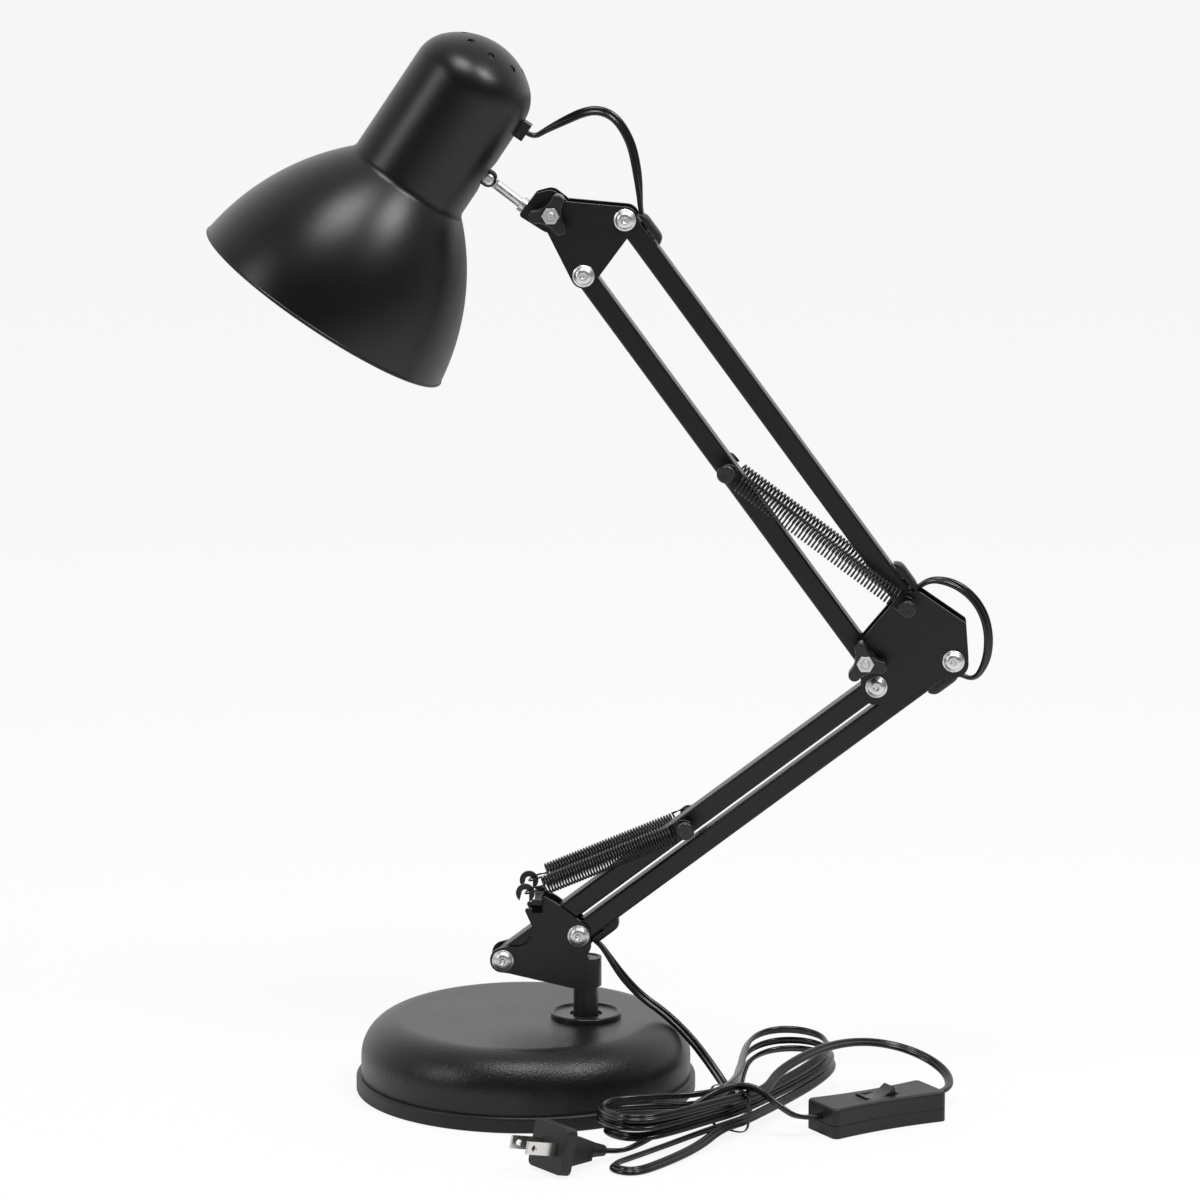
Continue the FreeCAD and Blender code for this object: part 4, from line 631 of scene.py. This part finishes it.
# %% [markdown]
# ## The mains flex
# From the lower clip the flex drops, and on the lamp its first centimetres follow the moving arm. It is
# made as one line and cut into three stretches: the first two, at the clip and on the way down past the
# swivel, stay where they lie on no body, and the long rest rides on the base.

# %% Mains flex
clip_way = on_bar(LOWER_PIVOT, LOWER_ANGLE, CLIP, LEAD_LEVEL)
clip_out = on_bar(LOWER_PIVOT, LOWER_ANGLE, CLIP - 1.7, LEAD_LEVEL)
inlet_way, inlet = (101.38, -93.51, 6.8), (109.9, -82.4, 6.8)
outlet, outlet_way = (114.35, -76.73, 19.4), (123.11, -65.82, 19.4)
entry_way, entry = (211.79, -29.11, 9.0), (201.84, -35.82, 9.0)
switch_out, switch_way = (149.64, -76.45, 9.0), (139.69, -83.16, 9.0)
plug_way, plug_end = (53.24, -123.24, 3.23), (46.49, -128.84, 5.25)

mains_route = [clip_way, clip_out, *DROP, *FOLD, inlet_way, inlet, *hank, outlet, outlet_way, *SWITCH_LEAD,
               entry_way, entry]
mains_line = smooth_line(mains_route)
plug_line = smooth_line([switch_out, switch_way, *PLUG_LEAD, plug_way, plug_end])
mains_run = length_along(mains_line)


def leaning_roll(line, lean, sway, wavelength):
    """The flex's lean: a steady angle plus a slow sine along its length, faded out at both ends."""
    run = length_along(line)
    ends = ease(run / 0.03) * ease((run[-1] - run) / 0.03)
    return (lean + sway * np.sin(2 * np.pi * run / wavelength)) * ends


LEAN, SWAY = math.radians(46), math.radians(8)
mains_roll = leaning_roll(mains_line, LEAN, SWAY, 0.29)
plug_roll = leaning_roll(plug_line, LEAN, SWAY, 0.29)
ARM_STRETCH = 0.034
SWIVEL_STRETCH = 0.115
cut_one = int(np.searchsorted(mains_run, ARM_STRETCH))
cut_two = int(np.searchsorted(mains_run, SWIVEL_STRETCH))
print("mains line", round(mains_run[-1], 3), "m, plug line", round(length_along(plug_line)[-1], 3), "m")

# %% Mains flex pieces
def stretch(name, skin, line, bodies):
    """A stretch of flex from its skin, with its place baked into the mesh, on no body. The line and the
    bodies are not used.
    """
    made = flex(name, skin, vinyl)
    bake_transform(made)
    return made


mains_skin = flex_skin(mains_line, mains_roll)
first, second = slice(0, cut_one + 1), slice(cut_one, cut_two + 1)
tail = stretch("mains_flex_at_clip", mains_skin[first], mains_line[first], ("lower_front_arm", "swivel"))
drop = stretch("mains_flex_drop", mains_skin[second], mains_line[second], ("swivel", "base"))
mains = flex("mains_flex", mains_skin[cut_two:], vinyl, "base")
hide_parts("mains_drop", "cord_hank", "switch_lead")
plug_flex = flex("plug_flex", flex_skin(plug_line, plug_roll), vinyl, "base")
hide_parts("plug_lead")
print("mains flex in", len((tail, drop, mains, plug_flex)), "pieces")

# %% [markdown]
# ## Slack loops at the elbow and the head
# The lead bridges each joint in a slack loop, which spans bodies that turn against each other. Each loop is
# cut where it passes a pivot, into one stretch for each joint that it crosses, and the stretches stay where
# they lie on no body. The flex turns its broad side out in the loop.

# %% Loops
def slack_loop(name, line, roll, bodies, shares):
    """A loop's line cut at shares of its length, into one stretch for each pair of neighbours in bodies.
    The stretches ride on no body.
    """
    run = length_along(line)
    cuts = [0] + [int(np.searchsorted(run, share * run[-1])) for share in shares] + [len(line) - 1]
    skin = flex_skin(line, roll)
    parts = [slice(first, last + 1) for first, last in zip(cuts, cuts[1:])]
    made = [
        stretch(f"{name}_{number + 1}", skin[part], line[part], pair)
        for number, (part, pair) in enumerate(zip(parts, zip(bodies, bodies[1:])))
    ]
    return made, [line[part] for part in parts]


grommet_end, grommet_way = (1.74, 0, 481.69), (5.06, 0, 479.46)
head_route = [grommet_end, grommet_way, *HEAD_LOOP,
              on_bar(UPPER_PIVOT, UPPER_ANGLE, UPPER_LENGTH - CLIP + 2, LEAD_LEVEL),
              on_bar(UPPER_PIVOT, UPPER_ANGLE, UPPER_LENGTH - CLIP, LEAD_LEVEL)]
elbow_route = [on_bar(UPPER_PIVOT, UPPER_ANGLE, CLIP, LEAD_LEVEL),
               on_bar(UPPER_PIVOT, UPPER_ANGLE, CLIP - 2, LEAD_LEVEL), *ELBOW_LOOP,
               on_bar(LOWER_PIVOT, LOWER_ANGLE, LOWER_LENGTH - CLIP + 2, LEAD_LEVEL),
               on_bar(LOWER_PIVOT, LOWER_ANGLE, LOWER_LENGTH - CLIP, LEAD_LEVEL)]
head_line = smooth_line(head_route, 12)
elbow_line = smooth_line(elbow_route, 12)
TURN_OUT = math.radians(68)
head_pieces, head_lines = slack_loop(
    "head_loop_flex", head_line, leaning_roll(head_line, TURN_OUT, 0, 1),
    ["shade_group", "rod", "yoke", "head_bracket", "upper_right_arm"], [0.16, 0.34, 0.67])
elbow_pieces, elbow_lines = slack_loop(
    "elbow_loop_flex", elbow_line, leaning_roll(elbow_line, TURN_OUT, 0, 1),
    ["upper_right_arm", "elbow", "lower_front_arm"], [0.5])
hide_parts("head_loop")
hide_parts("elbow_loop")
print("head loop", round(length_along(head_line)[-1], 3),
      "elbow loop", round(length_along(elbow_line)[-1], 3))


# %% [markdown]
# ## Springs
# Each arm is balanced by a pair of finely wound springs. The coil is a helix, and its ends stand up into
# eyes: round the pin where there is one, and across the sheet hook at the bracket. The wire's line is
# the eye's arc, an eased bend, the helix and the same again, worked out as one array.

# %% Spring line
COIL = 4.5
WIRE = 1.0
SPRING_SIDE = 13.5
HOOK = np.array((0.9, 0, 103.6))
LOWER_PIN = np.array((80.83, 0, 137.51))
UPPER_PIN = np.array((99.96, 0, 317.0))
ELBOW_PIN = np.array((189.31, 0, 250.62))


def bridge(first, leaving, second, arriving, count):
    """A cubic from one point to another that keeps both directions."""
    t = np.linspace(0, 1, count + 2)[1:-1, None]
    reach = np.linalg.norm(second - first)
    return (first * (2 * t**3 - 3 * t**2 + 1) + leaving * reach * (t**3 - 2 * t**2 + t)
            + second * (3 * t**2 - 2 * t**3) + arriving * reach * (t**3 - t**2))


def spring_line(start, end, curls, first_is_hook):
    """Eye, helix and eye between two anchors, in mm."""
    axis = unit(end - start)
    sideways = np.array((0.0, 1.0, 0.0))
    flat = np.cross(sideways, axis)
    span = np.linalg.norm(end - start)
    pin_slack = COIL - WIRE / 2 - 2.5 - 0.25
    run_in = COIL + 1.2
    first_out = COIL if first_is_hook else pin_slack
    low, high = first_out + run_in, span - pin_slack - run_in
    lift = sideways if first_is_hook else flat
    other = np.cross(axis, lift)
    total = 2 * np.pi * (curls + (0.25 if first_is_hook else 0))
    t = np.linspace(0, 1, curls * 18 + 1)[:, None]
    radial = lift * np.cos(total * t) + other * np.sin(total * t)
    coil = start + axis * (low + (high - low) * t) + radial * COIL
    sweep = np.linspace(math.radians(-125), math.radians(90), 16)[:, None]
    first_centre = start + axis * first_out
    first_eye = first_centre - axis * COIL * np.cos(sweep) + lift * COIL * np.sin(sweep)
    last_lift = unit(radial[-1])
    last_centre = end - axis * pin_slack
    last_eye = last_centre + axis * COIL * np.cos(sweep[::-1]) + last_lift * COIL * np.sin(sweep[::-1])
    slope = unit(coil[1] - coil[0])
    final = unit(coil[-1] - coil[-2])
    return np.concatenate([
        first_eye, bridge(first_eye[-1], axis, coil[0], slope, 5), coil,
        bridge(coil[-1], final, last_eye[0], axis, 5), last_eye])


def wire_frames(line):
    """Two directions square to a curly line: in the plane of its bend, and across that plane."""
    tangent = unit(np.gradient(line, axis=0))
    inward = np.gradient(tangent, axis=0)
    inward = unit(inward - tangent * (inward * tangent).sum(1, keepdims=True) + 1e-9)
    signs = np.sign((inward[1:] * inward[:-1]).sum(1))
    inward[1:] *= np.cumprod(np.where(signs == 0, 1, signs))[:, None]
    return inward, np.cross(tangent, inward)


def wire_tube(line, radius, sides=8):
    """A round section carried along a curly line."""
    turn = np.linspace(0, 2 * np.pi, sides, endpoint=False)
    one, two = wire_frames(line)
    ring = one[:, None] * np.cos(turn)[None, :, None] + two[:, None] * np.sin(turn)[None, :, None]
    return line[:, None] + ring * radius


# %% Springs
SPRINGS = {
    "lower": (HOOK, LOWER_PIN, 46, True, ("swivel", "lower_rear_arm")),
    "upper": (UPPER_PIN, ELBOW_PIN, 48, False, ("upper_left_arm", "elbow")),
}
for place, (start, end, curls, hooked, bodies) in SPRINGS.items():
    for word, side in (("front", -SPRING_SIDE), ("rear", SPRING_SIDE)):
        shift = np.array((0, side, 0))
        line = spring_line(start + shift, end + shift, curls, hooked) * MM
        skin = swept(wire_tube(line, WIRE / 2 * MM))
        spring = piece(f"{place}_{word}_coil_spring", *skin, None, wire_black, SOFT_ANGLE)
        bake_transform(spring)
        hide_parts(f"{place}_{word}_spring")
print("springs made, curls", [values[2] for values in SPRINGS.values()])

# %% [markdown]
# ## The shade
# The shade is spun from sheet: a flared bell, a straight neck and a rounded dome, painted black outside
# and white inside. Its wall is one profile that goes down the outside, round the rolled rim and up the
# inside, turned about the shade's axis. The vents in the dome and the two ports on the rod's side are
# then cut through the wall.

# %% Turning about an axis
def turned(profile, segments, origin=(0, 0, 0), lean=0.0):
    """A profile of radii and heights, in mm, turned about Z, then leaned over about Y and put at origin."""
    angle = np.linspace(0, 2 * np.pi, segments, endpoint=False)
    radius, height = profile[:, 0, None], profile[:, 1, None]
    grid = np.stack([radius * np.cos(angle), radius * np.sin(angle), height + 0 * angle], -1)
    cosine, sine = math.cos(lean), math.sin(lean)
    turn = np.array([[cosine, 0, sine], [0, 1, 0], [-sine, 0, cosine]])
    return (grid @ turn.T + np.array(origin)) * MM


def arc(start, middle, end, count):
    """Points of the circular arc from start through middle to end."""
    a, b, c = (complex(*p) for p in (start, middle, end))
    w = (c - a) / (b - a)
    centre = a - (a - b) * (w - abs(w) ** 2) / (2j * w.imag)
    first, mid, last = (np.angle(p - centre) for p in (a, b, c))
    to_mid = (mid - first + np.pi) % (2 * np.pi) - np.pi
    to_last = (last - mid + np.pi) % (2 * np.pi) - np.pi
    angle = first + np.linspace(0, to_mid + to_last, count)
    points = centre + abs(a - centre) * np.exp(1j * angle)
    return np.stack([points.real, points.imag], 1)


def joined(*runs):
    """Runs of a profile end to end, without doubled points."""
    points = np.concatenate(runs)
    keep = np.concatenate([[True], np.linalg.norm(np.diff(points, axis=0), axis=1) > 1e-4])
    return points[keep]


SHADE_NECK = (-56.8, 0, 457.7)
SHADE_LEAN = math.radians(33.8)
NECK, MOUTH, DEPTH, LENGTH, DOME, SHOULDER, WALL = 30.9, 68.3, 73.7, 56.4, 24.2, 19.5, 0.9


def bell_profile(inset):
    """Mouth, flare, neck, shoulder and crown of the bell, set in by a distance."""
    foot = (NECK - inset + 0.9, -0.6 - inset * 0.7)
    flare = arc((MOUTH - inset, -DEPTH), (54.2 - inset * 0.8, -30.4 - inset * 0.6), foot, 64)
    side = np.stack([np.full(40, NECK - inset), np.linspace(1.4, LENGTH, 40)], 1)
    offset = NECK - SHOULDER
    crown = (offset**2 + DOME**2 - SHOULDER**2) / (2 * (DOME - SHOULDER))
    centre = np.array((0, LENGTH + DOME - crown))
    outward = unit(np.array((offset, LENGTH)) - centre)
    level = math.atan2(outward[1], outward[0])
    bend = np.linspace(0, level, 24)
    shoulder = np.array((offset, LENGTH)) + (SHOULDER - inset) * np.stack([np.cos(bend), np.sin(bend)], 1)
    over = np.linspace(level, np.pi / 2, 30)[:-1]
    top = centre + (crown - inset) * np.stack([np.cos(over), np.sin(over)], 1)
    return joined(flare, side, shoulder, top), LENGTH + DOME - inset


outside, top_outside = bell_profile(0)
inside, top_inside = bell_profile(WALL)
rim = arc((MOUTH, -DEPTH), (MOUTH - WALL / 2, -DEPTH - 1.8), (MOUTH - WALL, -DEPTH), 12)
shade_profile = joined(outside[::-1], rim, inside)
print("shade profile points", len(shade_profile))

# %% Shade mesh
def shell(name, profile, segments, body, materials, switch_row, **place):
    """A turned wall that starts and ends on its axis. Rows past switch_row get the second material."""
    points, faces = swept(turned(profile, segments, **place))
    made = piece(name, points, faces, body, materials[0])
    if len(materials) > 1:
        made.data.materials.append(materials[1])
        rows = np.repeat(np.arange(len(profile) - 1) >= switch_row, segments)
        ends = np.repeat([False, True], segments)
        made.data.polygons.foreach_set("material_index", np.concatenate([rows, ends]).astype(np.int32))
    return made


def carve(obj, cutters):
    """Cuts the cutters out of obj for good, and removes them."""
    for cutter in cutters:
        cut = obj.modifiers.new("cut", "BOOLEAN")
        cut.object = cutter
        cut.operation = "DIFFERENCE"
        cut.solver = "EXACT"
    graph = bpy.context.evaluated_depsgraph_get()
    mesh = bpy.data.meshes.new_from_object(obj.evaluated_get(graph), depsgraph=graph)
    obj.modifiers.clear()
    obj.data = mesh
    for cutter in cutters:
        bpy.data.objects.remove(cutter)
    mesh.polygons.foreach_set("use_smooth", np.ones(len(mesh.polygons), bool))
    mesh.set_sharp_from_angle(angle=EDGE_ANGLE)


def punch(name, centre, way, radius, length, sides=32):
    """A round cutter: a circle carried from centre along a direction. Measures in mm."""
    way = unit(np.array(way, float))
    side = unit(np.cross(way, (0.31, 0.87, 0.39)))
    angle = np.linspace(0, 2 * np.pi, sides, endpoint=False)[:, None]
    ring = (side * np.cos(angle) + np.cross(way, side) * np.sin(angle)) * radius
    start = np.array(centre, float)
    return piece(name, *swept(np.stack([start + ring, start + way * length + ring]) * MM))


def in_shade(x, y, z):
    """A point of the shade's own frame, in mm: X towards the rod, Z towards the dome."""
    cosine, sine = math.cos(SHADE_LEAN), math.sin(SHADE_LEAN)
    return np.array((x * cosine + z * sine, y, -x * sine + z * cosine)) + np.array(SHADE_NECK)


shade_place = {"origin": SHADE_NECK, "lean": SHADE_LEAN}
shade = shell("bell_shade", shade_profile, 192, "shade_group", [shade_coat, enamel],
              len(outside) + len(rim) // 2, **shade_place)
to_dome = in_shade(0, 0, 1) - np.array(SHADE_NECK)
to_rod = in_shade(1, 0, 0) - np.array(SHADE_NECK)
VENT_CIRCLE, VENT_RADIUS, VENT_COUNT = 17.0, 1.8, 8
ROD_PORT, FLEX_PORT, FLEX_PORT_LEVEL = 8, 2.6, 52.5
knuckle_level = float((np.array((-17.1, 0, 459.3)) - np.array(SHADE_NECK)) @ to_dome)
vents = []
for angle in np.linspace(0, 2 * np.pi, VENT_COUNT, endpoint=False):
    foot = in_shade(VENT_CIRCLE * math.cos(angle), VENT_CIRCLE * math.sin(angle), LENGTH + DOME - 12)
    vents.append(punch("vent", foot, to_dome, VENT_RADIUS, 20, 20))
ports = [punch("rod port", in_shade(NECK - 8, 0, knuckle_level), to_rod, ROD_PORT, 20),
         punch("flex port", in_shade(NECK - 8, 0, FLEX_PORT_LEVEL), to_rod, FLEX_PORT, 20)]
carve(shade, vents + ports)
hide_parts("shade")
print("shade faces", len(shade.data.polygons))

# %% [markdown]
# ## The switch's rocker
# The rocker is a glossier moulding with two raised ends, so that a thumb finds the one that is up. Its
# side outline is carried across its width, a little smaller at both sides so that the edges are round.

# %% Rocker
SWITCH = np.array((177.0, -58.0, 11.2))
SWITCH_TURN, ROCKER_TILT = math.radians(34), math.radians(10)
crown_arc = arc((-8.5, 6.5), (0, 3.9), (8.5, 6.5), 30)
belly = arc((4.56, -1.5), (0, -4.8), (-4.56, -1.5), 16)
outline = joined(crown_arc, arc((8.7, 6.2), (8.9, 3.0), (8.8, 0.0), 8), belly,
                 arc((-8.8, 0.0), (-8.9, 3.0), (-8.7, 6.2), 8))
steps = np.linspace(-np.pi / 2, np.pi / 2, 11)
width = np.concatenate([-4.1 + 0.6 * np.sin(steps[:6]), 4.1 + 0.6 * np.sin(steps[5:])])
shrink = np.concatenate([0.94 + 0.06 * np.cos(steps[:6]), 0.94 + 0.06 * np.cos(steps[5:])])
x = outline[None, ::-1, 0] * shrink[:, None]
z = outline[None, ::-1, 1] * shrink[:, None]
cosine, sine = math.cos(ROCKER_TILT), math.sin(ROCKER_TILT)
ahead, up = x * cosine - z * sine, x * sine + z * cosine
cosine, sine = math.cos(SWITCH_TURN), math.sin(SWITCH_TURN)
rocker_grid = SWITCH + np.stack([
    ahead * cosine - width[:, None] * sine, ahead * sine + width[:, None] * cosine, up], -1)
rocker = piece("rocker_key", *swept(rocker_grid * MM), "rocker", knob_plastic)
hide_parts("switch_rocker")
print("rocker made")

# %% [markdown]
# ## The base cover and foot ring
# The base is a pressed steel pan over a cast weight. Its side runs straight up into a broad rounded
# shoulder and a flat top. The black ring that it stands in is a separate trim that shows as a thin lip.
# Both are turned profiles, finer than the solids they stand for.

# %% Base
PAN, PAN_TOP, PAN_SHOULDER, PAN_WALL, PAN_FOOT = 82.7, 37.2, 20.0, 1.2, 2.0


def pan_profile(inset):
    """Side, rounded shoulder and flat top of the pan, from the foot inwards."""
    centre = np.array((PAN - PAN_SHOULDER, PAN_TOP - PAN_SHOULDER))
    bend = np.linspace(0, np.pi / 2, 40)
    round_ = centre + (PAN_SHOULDER - inset) * np.stack([np.cos(bend), np.sin(bend)], 1)
    side = np.stack([np.full(6, PAN - inset), np.linspace(PAN_FOOT, centre[1], 6)], 1)
    flat = np.stack([np.linspace(centre[0], 0.5, 24), np.full(24, PAN_TOP - inset)], 1)
    return joined(side, round_, flat)


pan_profile_closed = joined(pan_profile(0)[::-1], pan_profile(PAN_WALL))
pan = shell("base_pan", pan_profile_closed, 192, "base", [base_coat], 0)
SOCKET_X, SOCKET_HOLE = 30.3, 9.1
carve(pan, [punch("socket opening", (SOCKET_X, 0, PAN_TOP - 5), (0, 0, 1), SOCKET_HOLE, 10, 48)])
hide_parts("base_cover")

FOOT, FOOT_HEIGHT, FOOT_INNER = 85.2, 8.0, 78.0
ring_profile = joined(
    np.array([(FOOT_INNER, 0.0)]),
    np.array([(FOOT - 1.0, 0.0)]),
    arc((FOOT - 0.8, 0.0), (FOOT - 0.2, 0.3), (FOOT, 1.0), 6),
    arc((FOOT, FOOT_HEIGHT - 1.4), (FOOT - 0.45, FOOT_HEIGHT - 0.4), (FOOT - 1.4, FOOT_HEIGHT), 8),
    np.array([(PAN, FOOT_HEIGHT), (PAN, PAN_FOOT), (FOOT_INNER, PAN_FOOT)]),
)
points, faces = swept(turned(ring_profile[::-1], 192), closed_rows=True)
ring = piece("foot_trim_ring", points, faces, "base", foot_coat)
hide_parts("foot_ring")
print("pan and ring made")

# %% [markdown]
# ## The tie
# A wire tie holds the hank at its waist: a thin ribbon round all the turns. The loop is a rounded
# rectangle, and its section is a flat oval.

# %% Tie
def tie_loop(half, top, count=96):
    """A rounded rectangle across the hank: a superellipse between the desk and the hank's top."""
    angle = np.linspace(0, 2 * np.pi, count, endpoint=False)
    power = 0.5
    across = half * np.sign(np.cos(angle)) * np.abs(np.cos(angle)) ** power
    high = top / 2 + (top / 2) * np.sign(np.sin(angle)) * np.abs(np.sin(angle)) ** power
    return across, high


TIE_HALF = WAIST_HALF + 3.3
TIE_TOP = WAIST_HEIGHT + LAYER * (LAYERS - 1) + 3.0
TIE_ANGLE = SPINE_MIDDLE - math.pi / 2
across_way = np.array((math.cos(TIE_ANGLE), math.sin(TIE_ANGLE), 0))
along_way = np.array((-math.sin(TIE_ANGLE), math.cos(TIE_ANGLE), 0))
across, high = tie_loop(TIE_HALF, TIE_TOP - 0.4)
loop_line = WAIST + across_way * across[:, None] + np.array((0, 0, 1)) * (high[:, None] + 0.5)
outward = unit(np.stack([across / TIE_HALF, (high / TIE_TOP - 0.5) * 2], 1))
outward = across_way * outward[:, :1] + np.array((0, 0, 1)) * outward[:, 1:]
angle = np.linspace(0, 2 * np.pi, 12, endpoint=False)[None, :, None]
tie_grid = loop_line[:, None] + (outward[:, None] * np.sin(angle) * 0.35) + along_way * np.cos(angle) * 1.0
tie = piece("hank_tie", *swept(tie_grid * MM, closed_rows=True), "base", vinyl)
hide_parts("cord_tie")
print("tie made")

# %% [markdown]
# ## Floor, light and surroundings
# The photograph is a product shot on white. The floor and the world look white to the camera, while the
# light on the lamp stays plain: one soft panel on the upper right, one overhead towards the front, and a
# weaker upright one on the left. The world is bright behind the lamp and dark towards the camera, as a
# white backdrop in a dark room is, which keeps the plates black and rims their edges.

# %% Floor
FLOOR_HALF, FLOOR_LEVEL = 15.0, -0.0003
floor_corners = [(x * FLOOR_HALF, y * FLOOR_HALF, FLOOR_LEVEL)
                 for x, y in ((-1, -1), (1, -1), (1, 1), (-1, 1))]
floor = piece("floor", floor_corners, [(0, 1, 2, 3)])
paper = Finish("white paper floor")
rays = paper.node("ShaderNodeLightPath")
seen = Value(paper, rays.outputs["Is Camera Ray"])
white = paper.node("ShaderNodeEmission", None, {"Color": (1, 1, 1, 1), "Strength": 1.0})
paper.write(Base_Color=(0.82, 0.82, 0.82, 1), Roughness=0.9, Specular_IOR_Level=0.0)
share = paper.node("ShaderNodeMixShader", None, {0: seen * 0.88})
paper.tree.links.new(paper.shader.outputs[0], share.inputs[1])
paper.tree.links.new(white.outputs[0], share.inputs[2])
output = next(n for n in paper.tree.nodes if n.type == "OUTPUT_MATERIAL")
paper.tree.links.new(share.outputs[0], output.inputs[0])
floor.data.materials.append(paper.material)

# %% World
world = bpy.data.worlds.new("studio")
bpy.context.scene.world = world
world.use_nodes = True
sky = world.node_tree
sky.nodes.clear()
direction = sky.nodes.new("ShaderNodeTexCoord")
split = sky.nodes.new("ShaderNodeSeparateXYZ")
ramp = sky.nodes.new("ShaderNodeMapRange")
ramp.inputs["From Min"].default_value = -0.35
ramp.inputs["From Max"].default_value = 0.75
ramp.inputs["To Min"].default_value = 0.02
ramp.inputs["To Max"].default_value = 1.3
seen_directly = sky.nodes.new("ShaderNodeLightPath")
strength = sky.nodes.new("ShaderNodeMix")
background = sky.nodes.new("ShaderNodeBackground")
sky_output = sky.nodes.new("ShaderNodeOutputWorld")
sky.links.new(direction.outputs["Generated"], split.inputs[0])
sky.links.new(split.outputs["Y"], ramp.inputs["Value"])
sky.links.new(seen_directly.outputs["Is Camera Ray"], strength.inputs[0])
sky.links.new(ramp.outputs[0], strength.inputs[2])
strength.inputs[3].default_value = 1.0
sky.links.new(strength.outputs[0], background.inputs["Strength"])
sky.links.new(background.outputs[0], sky_output.inputs[0])


# %% Lights
def softbox(name, place, target, width, height, power):
    """A rectangular lamp at a place that faces a target. Power is in watts."""
    data = bpy.data.lights.new(name, "AREA")
    data.shape = "RECTANGLE"
    data.size, data.size_y = width, height
    data.energy = power
    lamp = bpy.data.objects.new(name, data)
    bpy.context.scene.collection.objects.link(lamp)
    way = np.array(target, float) - np.array(place, float)
    lamp.location = place
    lamp.rotation_euler = (math.atan2(math.hypot(way[0], way[1]), -way[2]), 0,
                           math.atan2(way[1], way[0]) - math.pi / 2)
    return lamp


softbox("left panel", (-1.6, -0.9, 1.1), (0, 0, 0.3), 0.5, 1.1, 9)
softbox("right panel", (1.1, -0.7, 1.8), (0, 0, 0.35), 0.55, 0.55, 20)
softbox("overhead panel", (-0.05, -0.7, 2.0), (0, 0, 0.15), 0.7, 0.6, 18)
bpy.context.scene.view_settings.view_transform = "Standard"
print("lights made")
